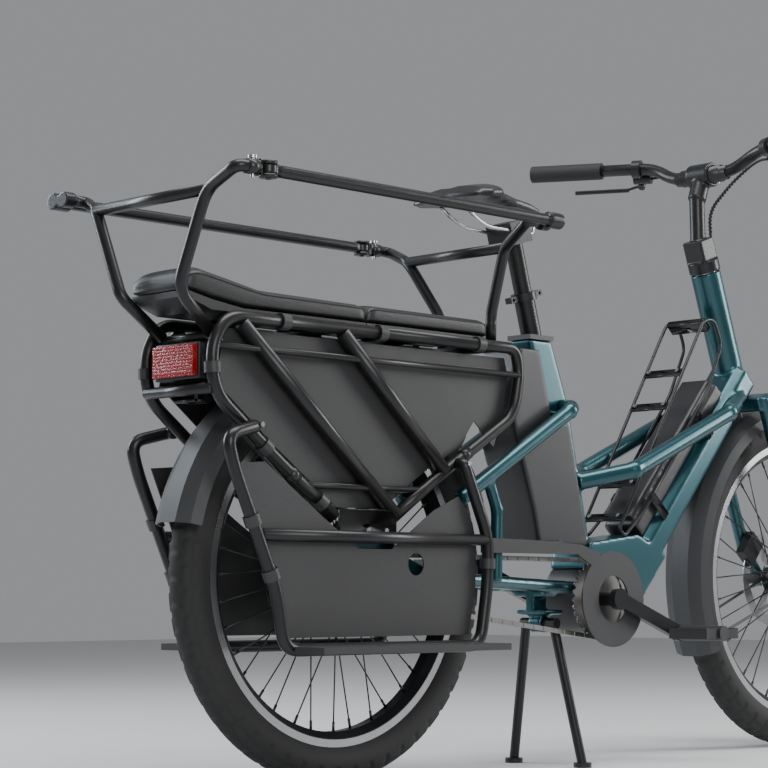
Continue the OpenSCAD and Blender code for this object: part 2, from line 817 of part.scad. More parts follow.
// Closed chain round both toothed wheels
module chain() {
    d = norm([bb_x, bb_z - hub_z]);
    slope = atan2(bb_z - hub_z, bb_x);
    color(silver) placed()
        translate([0, -chain_y + 3.5, hub_z]) rotate([90, 0, 0]) rotate([0, 0, slope])
        linear_extrude(height = 7) difference() {
            chain_loop(d, roller_r);
            chain_loop(d, -roller_r);
        }
}

// Outline round the chainring and the sprocket, offset by e from the rollers' circles
module chain_loop(d, e) {
    hull() {
        translate([d, 0]) circle(r = ring_r + e, $fn = 96);
        circle(r = cog_r + e, $fn = 96);
    }
}

guard_plate_y = 80;
band_outline = [[247, 350], [247, 374], [400, 371], [492, 366], [540, 352], [520, 330], [480, 350]];

module chain_guard() {
    color(black) placed() difference() {
        union() {
            side_plate(band_outline, -guard_plate_y - 3, -guard_plate_y);
            cross_rod(bb_x, bb_z, -guard_plate_y - 3, -guard_plate_y, 160);
            side_plate([[330, 369.6], [330, 372.6], [400, 371], [492, 366], [490, 363.2],
                [400, 368]], -guard_plate_y - 3, -chain_y + 8);
            cross_rod(440, 368, -guard_plate_y, -mast_battery_w / 2 - seat_gap, 10);
        }
        cross_rod(bb_x, bb_z, -guard_plate_y - 4, -guard_plate_y + 1, 78);
    }
}

// ---------------------------------------------------------------- wheels

tyre_tube_r = tyre_w / 2;
tyre_mid_r = wheel_r - tyre_tube_r;
flange_h = 6;
flange_t = 2.5;
rear_old = 2 * (drop_y - seat_gap);
front_old = 100;
rotor_y = 54;
front_rotor_y = 38;
hub_flange_d = 62;
hub_flange_y = 27;
front_flange_d = 54;
front_flange_y = 24;

// Draws its children with Z along the axle, towards the left, at the wheel's middle
module at_wheel(x) {
    translate([x, 0, hub_z]) rotate([-90, 0, 0]) children();
}

module rim_ring() {
    w = rim_w / 2;
    rotate_extrude($fn = 96) difference() {
        polygon([[bead_r - rim_depth, -9], [bead_r - rim_depth, 9], [bead_r - 8, w],
            [bead_r + flange_h, w], [bead_r + flange_h, w - flange_t], [bead_r, w - flange_t],
            [bead_r - 3, 8], [bead_r - 3, -8],
            [bead_r, flange_t - w], [bead_r + flange_h, flange_t - w], [bead_r + flange_h, -w],
            [bead_r - 8, -w]]);
        polygon([[bead_r - rim_depth + 3, -7], [bead_r - rim_depth + 3, 7], [bead_r - 8, w - 4],
            [bead_r - 5.5, 7], [bead_r - 5.5, -7], [bead_r - 8, 4 - w]]);
    }
}

// Tyre: a round casing over the rim's flanges and two beads between them
module tyre_ring() {
    leg_x = rim_w / 2 - flange_t - seat_gap - 3;
    rotate_extrude($fn = 96) {
        difference() {
            translate([tyre_mid_r, 0]) circle(r = tyre_tube_r);
            translate([tyre_mid_r, 0]) circle(r = tyre_tube_r - 3.5);
            translate([0, -tyre_w]) square([bead_r + flange_h + seat_gap, 2 * tyre_w]);
        }
        for (s = [-1, 1])
            translate([bead_r + seat_gap, s * (leg_x + 1.5) - 1.5]) square([flange_h + 6, 3]);
    }
}

module hub(old, flange_d, y, rotor_at) {
    difference() {
        union() {
            translate([0, 0, -y]) cylinder(h = 2 * y, d = flange_d * 0.7);
            for (s = [-1, 1]) translate([0, 0, s * y - 2]) cylinder(h = 4, d = flange_d);
            translate([0, 0, -old / 2]) cylinder(h = old, d = 22);
            translate([0, 0, y]) cylinder(h = rotor_at - y - rotor_t / 2 - 0.1, d = 50);
        }
        translate([0, 0, -old]) cylinder(h = 2 * old, d = axle_d + 2 * run_gap);
    }
}

// Spokes leave both flanges in turn and lean the same way round on each side
module spokes(flange_d, flange_y) {
    step = 360 / spoke_count;
    root_r = flange_d / 2 + 0.3;
    for (i = [0 : spoke_count - 1]) {
        s = i % 2 == 0 ? 1 : -1;
        a = i * step;
        rim_a = a + s * 18;
        rod([root_r * cos(a), root_r * sin(a), s * flange_y],
            [(bead_r - rim_depth - 0.3) * cos(rim_a), (bead_r - rim_depth - 0.3) * sin(rim_a), s * 3],
            spoke_d);
    }
}

module rotor(at) {
    translate([0, 0, at - rotor_t / 2]) difference() {
        cylinder(h = rotor_t, d = rotor_d);
        translate([0, 0, -1]) cylinder(h = rotor_t + 2, d = 22.4);
        for (i = [0 : 5]) rotate([0, 0, 60 * i]) translate([0, 0, -1]) linear_extrude(height = rotor_t + 2)
            polygon([for (p = [[32, 8], [32, 52], [rotor_d / 2 - 17, 52], [rotor_d / 2 - 17, 8]])
                [p[0] * cos(p[1]), p[0] * sin(p[1])]]);
    }
}

// Brake caliper astride a rotor, at the angle a round the axle, with pads that just clear it
module caliper(at, a) {
    rotate([0, 0, a]) difference() {
        translate([rotor_d / 2 - 22, -26, at - 9]) cube([40, 52, 18]);
        translate([0, 0, at - rotor_t / 2 - 0.5]) cylinder(h = rotor_t + 1, r = rotor_d / 2 + 2);
    }
}

module rear_hub() {
    color(black) placed() at_wheel(0)
        hub(rear_old, hub_flange_d, hub_flange_y, rotor_y);
}

module rear_spokes() {
    color(black) placed() at_wheel(0) spokes(hub_flange_d, hub_flange_y);
}

module rear_rim() {
    color(black) placed() at_wheel(0) rim_ring();
}

module rear_tyre() {
    color(black) placed() at_wheel(0) tyre_ring();
}

module rear_rotor() {
    color(silver) placed() at_wheel(0) rotor(rotor_y);
}

module rear_sprocket() {
    color(silver) placed() at_wheel(0) translate([0, 0, -chain_y - 1.2]) difference() {
        union() {
            cylinder(h = 2.4, r = cog_r - roller_r - chain_gap);
            cylinder(h = 10, d = 40);
        }
        translate([0, 0, -1]) cylinder(h = 20, d = 22 + 2 * run_gap);
    }
}

module rear_axle() {
    color(silver) placed() {
        cross_rod(0, hub_z, -drop_y - drop_t, drop_y + drop_t, axle_d);
        for (s = [-1, 1]) cross_rod(0, hub_z, s * (drop_y + drop_t + 2.15) - 2, s * (drop_y + drop_t + 2.15) + 2, 24);
    }
}

caliper_angle = -8;

module rear_caliper() {
    color(black) placed() at_wheel(0) {
        caliper(rotor_y, caliper_angle);
        rotate([0, 0, caliper_angle]) translate([rotor_d / 2 + 6, -10, rotor_y + 8])
            cube([10, 20, drop_y - rotor_y - 8 - seat_gap]);
    }
}

module front_hub() {
    color(black) placed() at_wheel(wheelbase)
        hub(front_old - 2 * seat_gap, front_flange_d, front_flange_y, front_rotor_y);
}

module front_spokes() {
    color(black) placed() at_wheel(wheelbase) spokes(front_flange_d, front_flange_y);
}

module front_rim() {
    color(black) placed() at_wheel(wheelbase) rim_ring();
}

module front_tyre() {
    color(black) placed() at_wheel(wheelbase) tyre_ring();
}

module front_rotor() {
    color(silver) placed() at_wheel(wheelbase) rotor(front_rotor_y);
}

// ---------------------------------------------------------------- steering

steerer_d = 28.6;
bearing_d = 44;
bearing_h = 9;
crown_gap = 1;
fork_y = 63;
leg_d = 24;
crown_h = 26;
cover_h = 22;
clamp_top = 62;
leg_path = [[1034, fork_y, 646], [1140, fork_y, 370], [wheelbase - 6, fork_y, hub_z + 4]];

module headset_bearings() {
    color(silver) placed() on_head()
        for (z = [-bearing_h, -head_len]) translate([0, 0, z]) difference() {
            cylinder(h = bearing_h, d = bearing_d - 2 * run_gap);
            translate([0, 0, -1]) cylinder(h = bearing_h + 2, d = steerer_d + 2 * run_gap);
        }
}

module fork() {
    color(teal) placed() difference() {
        union() {
            on_head() {
                translate([0, 0, -head_len - 6]) cylinder(h = head_len + 56, d = steerer_d);
                translate([0, 0, -head_len - crown_gap - crown_h]) cylinder(h = crown_h, d = 54);
                translate([-18, -fork_y - 4, -head_len - crown_gap - crown_h])
                    cube([38, 2 * fork_y + 8, crown_h]);
            }
            both_sides() {
                intersection() {
                    tube(leg_path, leg_d, 180);
                    on_head() translate([-100, 0, -700]) cube([400, 200, 700 - head_len - crown_gap]);
                }
                cross_rod(wheelbase, hub_z, front_old / 2, fork_y + leg_d / 2 + 1, 30);
            }
        }
        cross_rod(wheelbase, hub_z, -100, 100, axle_d + 2 * run_gap);
    }
}

module front_axle() {
    color(silver) placed() {
        cross_rod(wheelbase, hub_z, -fork_y - leg_d / 2 - 3, fork_y + leg_d / 2 + 3, axle_d);
        for (s = [-1, 1]) cross_rod(wheelbase, hub_z, s * (fork_y + leg_d / 2 + 3.15) - 2,
            s * (fork_y + leg_d / 2 + 3.15) + 2, 22);
    }
}

// Point of the front fender's wire stay at the distance r from the axle
function front_stay_at(r, y) = [wheelbase + r * cos(200), y, hub_z + r * sin(200)];

module front_fender() {
    color(grey) placed() {
        fender_arc(wheelbase, 66, 205, fender_profile);
        // bridge under the crown and the wire stays
        on_head() translate([0, 0, -head_len - crown_gap - crown_h - seat_gap - 19])
            cylinder(h = 19, d = 16);
        both_sides() rod(front_stay_at(309, 46.5), front_stay_at(15 + seat_gap, 56), 5);
    }
}

module front_caliper() {
    color(black) placed() at_wheel(wheelbase) {
        caliper(front_rotor_y, -140);
        // the bracket leans against the fork leg
        rotate([0, 0, -128]) translate([rotor_d / 2 + 2, -9, front_rotor_y + 8])
            cube([14, 18, fork_y - leg_d / 2 - seat_gap - front_rotor_y - 8]);
    }
}

bar_clamp = [944, 0, bar_z];
bar_bend = [952, 120, bar_z + 32];
bar_tip = [868, bar_w / 2, bar_z + 40];
bar_path = [bar_clamp, [946, 66, bar_z], bar_bend, bar_tip];
bar_dir = unit(bar_tip - bar_bend);
lever_lean = [0.82, 0, -0.57];
lever_out = unit(lever_lean - (lever_lean * bar_dir) * bar_dir);
lever_axis = unit(cross(bar_dir, lever_out));
lever_pivot = bar_bend + bar_dir * 34 + lever_out * 40;
grip_len = 140;

module stem() {
    color(black) placed() difference() {
        union() {
            on_head() {
                translate([0, 0, seat_gap * 2]) cylinder(h = cover_h - seat_gap * 2, d = 58);
                translate([-22, -21, cover_h]) cube([42, 42, clamp_top - cover_h]);
            }
            rod([927, 0, 928], [925, 0, 1018], 28);
            rod([925, 0, 1010], bar_clamp - [2, 0, 4], 34);
            cross_rod(bar_clamp[0], bar_clamp[2], -25, 25, bar_d + 14);
        }
        on_head() translate([0, 0, -1]) cylinder(h = 52.5, d = steerer_d + 2 * run_gap);
        cross_rod(bar_clamp[0], bar_clamp[2], -40, 40, bar_d + 2 * run_gap);
    }
}

module handlebar() {
    color(black) placed() {
        both_sides() tube(bar_path, bar_end_d, 34);
        cross_rod(bar_clamp[0], bar_clamp[2], -44, 44, bar_d);
    }
}

module grips() {
    color(black) placed() both_sides() difference() {
        rod(bar_tip - bar_dir * grip_len, bar_tip + bar_dir * 3, 32);
        rod(bar_tip - bar_dir * (grip_len + 1), bar_tip + bar_dir * 0.1, bar_end_d + 2 * run_gap);
    }
}

lever_eye_h = 6;
lever_pin_d = 5;

module lever_mounts() {
    color(black) placed() both_sides() difference() {
        union() {
            rod(bar_bend + bar_dir * 26, bar_bend + bar_dir * 42, bar_end_d + 12);
            rod(bar_bend + bar_dir * 12 + lever_out * 26, bar_bend + bar_dir * 46 + lever_out * 26, 20);
            rod(lever_pivot - lever_axis * 9, lever_pivot + lever_axis * 9, 14);
        }
        rod(bar_bend + bar_dir * 20, bar_bend + bar_dir * 60, bar_end_d + 2 * run_gap);
        rod(lever_pivot - lever_axis * (lever_eye_h / 2 + seat_gap),
            lever_pivot + lever_axis * (lever_eye_h / 2 + seat_gap), 19);
        rod(lever_pivot - lever_axis * 12, lever_pivot + lever_axis * 12, lever_pin_d + 2 * run_gap);
    }
}

module brake_lever() {
    rod(lever_pivot - lever_axis * lever_eye_h / 2, lever_pivot + lever_axis * lever_eye_h / 2, 12);
    rod(lever_pivot - lever_axis * 9, lever_pivot + lever_axis * 9, lever_pin_d);
    elbow = lever_pivot + bar_dir * 36 + lever_out * 14;
    rod(lever_pivot + lever_out * 2, elbow, lever_eye_h - 0.8);
    rod(elbow - bar_dir * 5, lever_pivot + bar_dir * 140 + lever_out * 15, lever_eye_h + 2);
}

module brake_lever_left() {
    color(black) placed() brake_lever();
}

module brake_lever_right() {
    color(black) placed() mirror([0, 1, 0]) brake_lever();
}

hose_path = [[963.6, 7, 907.9], [957, 7, 940], [951, 9, 992], [992, 34, 1050], [1000, 84, 1084],
    bar_bend + bar_dir * 11.3 + lever_out * 26];

module control_hoses() {
    color(black) placed() both_sides() tube(hose_path, 5, 14);
}

// ---------------------------------------------------------------- centre stand and lock

stand_y = 30;
stand_foot_y = 76;
foot_x = 496;

module kickstand() {
    color(black) placed() difference() {
        union() {
            cross_rod(stand_x, stand_z, -stand_y - 8, stand_y + 8, stand_bar_d);
            both_sides() {
                tube([[stand_x, stand_y, stand_z], [foot_x, stand_foot_y, 4]], 16, 10);
                translate([foot_x, stand_foot_y, 0]) cylinder(h = 8, d = 30);
            }
        }
        translate([foot_x - 60, -120, -20]) cube([120, 240, 20]);
    }
}

lock_angle = 44;
lock_r = 300;
lock_in = 50.5;
lock_out = panel_y - seat_gap;

module ring_lock() {
    color(black) placed() translate([0, 0, hub_z]) rotate([0, -lock_angle, 0])
        translate([lock_r, 0, 0]) {
            rotate([0, 0, -90]) rotate_extrude(angle = 180)
                translate([lock_in, -7]) square([lock_out - lock_in, 14]);
            both_sides() translate([-30, lock_in, -7]) cube([30, lock_out - lock_in, 14]);
        }
}

front_frame();
rear_frame();
rack_frame();
guard_loops();
footboards();
side_panels();
panel_clips();
rear_fender();
rear_light_body();
rear_light_lens();
cushion_bases();
cushion_front();
cushion_rear();
handrail_hoops();
mast_collar();
down_tube_battery();
battery_carrier();
mast_battery();
motor_unit();
chain_guard();
chain();
rear_axle();
rear_caliper();
headset_bearings();
ring_lock();
seatpost_lower();
seatpost_upper();
saddle_rails();
saddle();
kickstand();
crank_set();
chainring();
pedal_left();
pedal_right();
rear_hub();
rear_spokes();
rear_rim();
rear_tyre();
rear_rotor();
rear_sprocket();
front_hub();
front_spokes();
front_rim();
front_tyre();
front_rotor();
fork();
front_fender();
front_caliper();
front_axle();
stem();
handlebar();
grips();
lever_mounts();
brake_lever_left();
brake_lever_right();
control_hoses();
side_bar_left();
side_bar_right();
latch_pin_left();
latch_pin_right();
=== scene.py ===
# %% [markdown]
# # A longtail cargo bicycle, built piece by piece
#
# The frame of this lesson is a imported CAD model. Every node of it already has the right place and
# the right size, so this notebook only gives surfaces what CAD leaves out: smooth bends, crowned
# cushions, tyre tread, crossed spokes, chain links and materials.
#
# Lengths are in metres. +X is the riding direction, +Y the bicycle's left and +Z is up.

# %% Load the frame and measure it
import bpy
import math
import numpy as np
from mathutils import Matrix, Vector


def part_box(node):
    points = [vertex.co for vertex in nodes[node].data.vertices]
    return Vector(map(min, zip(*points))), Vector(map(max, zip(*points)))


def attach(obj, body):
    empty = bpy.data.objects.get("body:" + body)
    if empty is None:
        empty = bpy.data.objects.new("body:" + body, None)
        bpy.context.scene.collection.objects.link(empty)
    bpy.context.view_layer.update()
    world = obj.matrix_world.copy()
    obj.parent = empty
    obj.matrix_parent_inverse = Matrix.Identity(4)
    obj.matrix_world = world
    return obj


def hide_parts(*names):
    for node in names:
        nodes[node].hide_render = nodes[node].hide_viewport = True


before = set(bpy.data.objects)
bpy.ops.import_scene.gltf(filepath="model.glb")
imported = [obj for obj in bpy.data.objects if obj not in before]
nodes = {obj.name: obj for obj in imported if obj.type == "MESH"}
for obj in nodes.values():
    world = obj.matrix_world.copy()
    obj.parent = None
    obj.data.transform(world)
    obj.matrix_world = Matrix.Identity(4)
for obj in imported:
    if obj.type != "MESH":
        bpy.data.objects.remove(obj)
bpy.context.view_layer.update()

# %% [markdown]
# ## Camera, floor and light
#
# The model's sizes are easiest to read in millimetres from the rear axle, so `at` turns such a
# place into metres in the shared frame: `at(x, y, z) = (axle_x + x / 1000, y / 1000, z / 1000)`.
# The axle's place comes from the rear hub's box.
#
# The camera looks along `(cos p cos w, cos p sin w, sin p)` with the yaw w and the pitch p. One
# large soft lamp hangs above, and three smaller ones draw the edges of the dark tubes.

# %% Places, camera and light
lo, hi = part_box("rear_hub")
axle_x = (lo.x + hi.x) / 2
lo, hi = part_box("front_hub")
front_x = (lo.x + hi.x) / 2
hub_z = (lo.z + hi.z) / 2


def at(x, y, z):
    """A place given in millimetres from the rear axle and the ground."""
    return Vector((x / 1000 + axle_x, y / 1000, z / 1000))


def path(points):
    return [at(*p) for p in points]


CAMERA_PLACE = (-2308.5, -2452.0, 288.7)  # mm, behind the bicycle and to its right
CAMERA_YAW, CAMERA_PITCH = math.radians(45.38), math.radians(5.4)
LENS_MM = 102.9

look = Vector((math.cos(CAMERA_PITCH) * math.cos(CAMERA_YAW),
               math.cos(CAMERA_PITCH) * math.sin(CAMERA_YAW), math.sin(CAMERA_PITCH)))
cam_data = bpy.data.cameras.new("camera")
cam_data.lens = LENS_MM
cam_data.sensor_width = 36
cam_data.clip_end = 60
cam = bpy.data.objects.new("camera", cam_data)
cam.location = at(*CAMERA_PLACE)
cam.rotation_euler = look.to_track_quat("-Z", "Y").to_euler()
bpy.context.scene.collection.objects.link(cam)
bpy.context.scene.camera = cam

world = bpy.data.worlds.new("world")
bpy.context.scene.world = world
world.use_nodes = True
world.node_tree.nodes["Background"].inputs["Color"].default_value = (0.82, 0.85, 0.88, 1)
world.node_tree.nodes["Background"].inputs["Strength"].default_value = 0.35


def area_light(name, place, target, size, power, tint=(1, 1, 1)):
    """A rectangular lamp at place that faces target, with its size in metres and power in watts."""
    data = bpy.data.lights.new(name, "AREA")
    data.shape = "RECTANGLE"
    data.size, data.size_y = size
    data.energy = power
    data.color = tint
    lamp = bpy.data.objects.new(name, data)
    lamp.location = place
    lamp.rotation_euler = (Vector(target) - Vector(place)).to_track_quat("-Z", "Y").to_euler()
    bpy.context.scene.collection.objects.link(lamp)


area_light("key_top", (-0.3, -0.6, 3.4), (0, 0, 0.5), (3.2, 1.6), 120)
area_light("side_near", (-1.9, -3.0, 1.6), (0, 0, 0.5), (1.6, 1.4), 42)
area_light("rim_left", (-1.6, 2.8, 1.9), (0, 0, 0.6), (1.2, 2.0), 85, (0.85, 0.93, 1.0))
area_light("front_right", (2.9, -1.8, 1.7), (0.3, 0, 0.5), (1.2, 1.8), 70)

# %% [markdown]
# ## Materials
#
# `make` builds one procedural material. A broad noise varies the colour and the roughness, a fine
# one gives the bump, and a painted highlight, a lighter copy of the colour, follows the edges of
# the surface, where its curvature (the geometry's pointiness) is high.

# %% Material maker
BROAD_SCALE = 14           # colour and roughness patches about 7 cm across
ROUGH_SPREAD = 0.07        # how far the roughness strays each way
EDGE_START, EDGE_FULL = 0.53, 0.62  # pointiness where the painted edge highlight starts and where it is full


def make(name, colour, rough, metallic=0.0, grain=900.0, bump=0.06, depth=0.0004, spread=0.12,
         coat=0.0, edge_highlight=0.0, kind="NOISE", stretch=(1, 1, 1)):
    """A painted, moulded, metal or hide surface. grain is the fine pattern's scale, depth its
    height in metres, spread the colour's relative range and coat the weight of a clear coat."""
    m = bpy.data.materials.new(name)
    m.use_nodes = True
    tree = m.node_tree
    new = tree.nodes.new
    link = tree.links.new
    bsdf = tree.nodes["Principled BSDF"]
    place = new("ShaderNodeTexCoord")
    mapping = new("ShaderNodeMapping")
    mapping.inputs["Scale"].default_value = stretch
    link(place.outputs["Object"], mapping.inputs["Vector"])
    broad = new("ShaderNodeTexNoise")
    broad.inputs["Scale"].default_value = BROAD_SCALE
    broad.inputs["Detail"].default_value = 5
    link(mapping.outputs["Vector"], broad.inputs["Vector"])
    ramp = new("ShaderNodeMix")
    ramp.data_type = "RGBA"
    low = [c * (1 - spread) for c in colour]
    high = [min(1.0, c * (1 + spread) + 0.002) for c in colour]
    ramp.inputs["A"].default_value = (*low, 1)
    ramp.inputs["B"].default_value = (*high, 1)
    link(broad.outputs["Fac"], ramp.inputs["Factor"])
    colour_out = ramp.outputs["Result"]
    # Painted highlight: edges with high pointiness get a lighter copy of the colour, standing in
    # for the light that edges catch.
    if edge_highlight:
        geo = new("ShaderNodeNewGeometry")
        edge = new("ShaderNodeMapRange")
        edge.inputs["From Min"].default_value = EDGE_START
        edge.inputs["From Max"].default_value = EDGE_FULL
        edge.inputs["To Max"].default_value = edge_highlight
        link(geo.outputs["Pointiness"], edge.inputs["Value"])
        lit_edge = new("ShaderNodeMix")
        lit_edge.data_type = "RGBA"
        lit_edge.inputs["B"].default_value = (*[min(1, c * 2.2 + 0.03) for c in colour], 1)
        link(edge.outputs["Result"], lit_edge.inputs["Factor"])
        link(colour_out, lit_edge.inputs["A"])
        colour_out = lit_edge.outputs["Result"]
    link(colour_out, bsdf.inputs["Base Color"])
    fine = new("ShaderNodeTexVoronoi" if kind == "VORONOI" else "ShaderNodeTexNoise")
    fine.inputs["Scale"].default_value = grain
    link(mapping.outputs["Vector"], fine.inputs["Vector"])
    height = new("ShaderNodeBump")
    height.inputs["Strength"].default_value = bump
    height.inputs["Distance"].default_value = depth
    link(fine.outputs["Distance" if kind == "VORONOI" else "Fac"], height.inputs["Height"])
    link(height.outputs["Normal"], bsdf.inputs["Normal"])
    rough_map = new("ShaderNodeMapRange")
    rough_map.inputs["To Min"].default_value = max(0.03, rough - ROUGH_SPREAD)
    rough_map.inputs["To Max"].default_value = min(1.0, rough + ROUGH_SPREAD)
    link(broad.outputs["Fac"], rough_map.inputs["Value"])
    link(rough_map.outputs["Result"], bsdf.inputs["Roughness"])
    bsdf.inputs["Metallic"].default_value = metallic
    bsdf.inputs["Coat Weight"].default_value = coat
    bsdf.inputs["Coat Roughness"].default_value = 0.18
    return m


# The lighter edges of these materials are a painted highlight.
TEAL = make("teal_paint", (0.012, 0.075, 0.092), 0.34, metallic=0.75, grain=2600, bump=0.10,
            depth=0.0002, spread=0.18, coat=0.55, edge_highlight=0.25)
BLACK = make("satin_black", (0.011, 0.011, 0.012), 0.36, metallic=0.35, grain=1800, bump=0.10,
             depth=0.0002, spread=0.2, coat=0.12, edge_highlight=0.2)
MOULDED = make("moulded_black", (0.015, 0.015, 0.016), 0.46, grain=1300, bump=0.2, depth=0.0003,
               spread=0.2, edge_highlight=0.3)
PANEL = make("panel_grain", (0.018, 0.018, 0.019), 0.5, grain=1100, bump=0.35, spread=0.15,
             edge_highlight=0.2, kind="VORONOI")
FENDER = make("fender_grey", (0.034, 0.035, 0.038), 0.52, grain=1500, bump=0.2, depth=0.0002,
              edge_highlight=0.15)
CUSHION = make("cushion_hide", (0.013, 0.013, 0.014), 0.42, grain=520, bump=0.5, depth=0.0005,
               spread=0.18, coat=0.05, edge_highlight=0.15, kind="VORONOI")
PIPING = make("piping", (0.008, 0.008, 0.009), 0.5, bump=0.3, depth=0.0003)
SADDLE = make("saddle_skin", (0.011, 0.011, 0.012), 0.36, grain=700, bump=0.3, depth=0.0003,
              spread=0.2, coat=0.1, kind="VORONOI")
TYRE = make("tyre_rubber", (0.016, 0.016, 0.016), 0.74, grain=700, bump=0.35, spread=0.25)
RUBBER = make("soft_rubber", (0.012, 0.012, 0.012), 0.66, bump=0.35)
STEEL = make("bright_steel", (0.46, 0.46, 0.47), 0.28, metallic=1.0, bump=0.12, depth=0.0001,
             spread=0.1, stretch=(1, 12, 1))
CHAIN = make("chain_steel", (0.30, 0.29, 0.28), 0.33, metallic=1.0, grain=800, bump=0.2,
             depth=0.0002, spread=0.25)
BATTERY = make("battery_case", (0.014, 0.014, 0.016), 0.4, grain=1500, bump=0.22, depth=0.0003,
               spread=0.2, coat=0.05, edge_highlight=0.3)
RIM = make("rim_black", (0.016, 0.016, 0.018), 0.3, metallic=0.6, grain=1500, bump=0.1,
           depth=0.0002, spread=0.15, coat=0.1)
ROTOR = make("rotor_steel", (0.36, 0.36, 0.37), 0.3, metallic=1.0, grain=700, bump=0.2,
             depth=0.0001, spread=0.1)
SPOKE = make("spoke_steel", (0.05, 0.05, 0.053), 0.3, metallic=0.9, bump=0.1, depth=0.0001)
GREY = make("light_grey_mark", (0.32, 0.32, 0.32), 0.5, bump=0.1, depth=0.0001)
LENS = make("red_lens", (0.42, 0.006, 0.012), 0.16, grain=260, bump=0.6, depth=0.0008,
            spread=0.25, coat=0.6, kind="VORONOI")
LENS.node_tree.nodes["Principled BSDF"].inputs["Transmission Weight"].default_value = 0.25
FLOOR = make("floor", (0.62, 0.62, 0.62), 0.6, grain=60, bump=0.05, depth=0.0005, spread=0.03)
print("materials", len(bpy.data.materials))


# %% [markdown]
# ## Mesh helpers
#
# `sweep_parts` draws a round tube along a path whose corners are rounded first. A corner P between
# two unit directions u and v becomes an arc: its points are the quadratic blend
# `(1 - t)^2 (P - c u) + 2 t (1 - t) P + t^2 (P + c v)`, where c is how far the bend reaches.
#
# Each `..._parts` function returns vertices and faces. `piece` joins a list of them into one object
# that rides on a CAD body and, where it is told a node, stands for that node.

# %% Helpers
def add_mesh(name, verts, faces, material, body, smooth=True):
    """An object from vertices and faces; without a body it rides on nothing."""
    mesh = bpy.data.meshes.new(name)
    mesh.from_pydata(np.asarray(verts, float).tolist(), [], [list(f) for f in faces])
    mesh.validate()
    mesh.update()
    mesh.polygons.foreach_set("use_smooth", np.full(len(mesh.polygons), smooth))
    mesh.materials.append(material)
    obj = bpy.data.objects.new(name, mesh)
    bpy.context.scene.collection.objects.link(obj)
    if body:
        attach(obj, body)
    return obj


def rounded(points, reach, steps=7):
    """Path with each inner corner blended by (1-t)^2 A + 2t(1-t) P + t^2 B."""
    p = [np.array(q, float) for q in points]
    out = [p[0]]
    for i in range(1, len(p) - 1):
        before, after = p[i - 1] - p[i], p[i + 1] - p[i]
        nb, na = np.linalg.norm(before), np.linalg.norm(after)
        c = min(reach, nb * 0.48, na * 0.48)
        a, b = p[i] + before / nb * c, p[i] + after / na * c
        for t in np.linspace(0, 1, steps):
            out.append((1 - t) ** 2 * a + 2 * t * (1 - t) * p[i] + t ** 2 * b)
    out.append(p[-1])
    return np.array(out)


def ring_faces(rows, cols, closed=False, caps=True):
    """Quads of a grid of rows rings with cols points each, wound outwards."""
    r = np.arange(rows if closed else rows - 1)[:, None]
    c = np.arange(cols)[None, :]
    n, r2 = (c + 1) % cols, (r + 1) % rows
    quads = np.stack([r * cols + c, r * cols + n, r2 * cols + n, r2 * cols + c], -1)
    faces = quads.reshape(-1, 4).tolist()
    if caps and not closed:
        faces.append(list(range(cols))[::-1])
        faces.append(list(range((rows - 1) * cols, rows * cols)))
    return faces


def sweep_parts(points, radius, reach=0.03, sides=20):
    """Vertices and faces of a tube: ring k is centre_k + r (cos a n_k + sin a b_k)."""
    centre = rounded(points, reach)
    centre = centre[np.r_[True, np.linalg.norm(np.diff(centre, axis=0), axis=1) > 1e-6]]
    tangent = np.gradient(centre, axis=0)
    tangent /= np.linalg.norm(tangent, axis=1)[:, None]
    normal = np.zeros_like(centre)
    start = np.array([0, 0, 1.0]) if abs(tangent[0][2]) < 0.9 else np.array([1.0, 0, 0])
    n = start - tangent[0] * (start @ tangent[0])
    for k, t in enumerate(tangent):
        n = n - t * (n @ t)
        n = n / np.linalg.norm(n)
        normal[k] = n
    binormal = np.cross(tangent, normal)
    a = np.linspace(0, 2 * np.pi, sides, endpoint=False)
    ring = np.cos(a)[None, :, None] * normal[:, None] + np.sin(a)[None, :, None] * binormal[:, None]
    verts = centre[:, None] + radius * ring
    return verts.reshape(-1, 3), ring_faces(len(centre), sides)


def join(parts):
    """One vertex and face list from many, each face list shifted past the ones before."""
    verts, faces, base = [], [], 0
    for v, f in parts:
        verts.append(np.asarray(v, float))
        faces += [[i + base for i in q] for q in f]
        base += len(v)
    return np.concatenate(verts), faces


def both(parts):
    """The parts and their mirror images in Y, wound the other way."""
    flipped = [(v * np.array([1, -1, 1]), [q[::-1] for q in f]) for v, f in parts]
    return parts + flipped


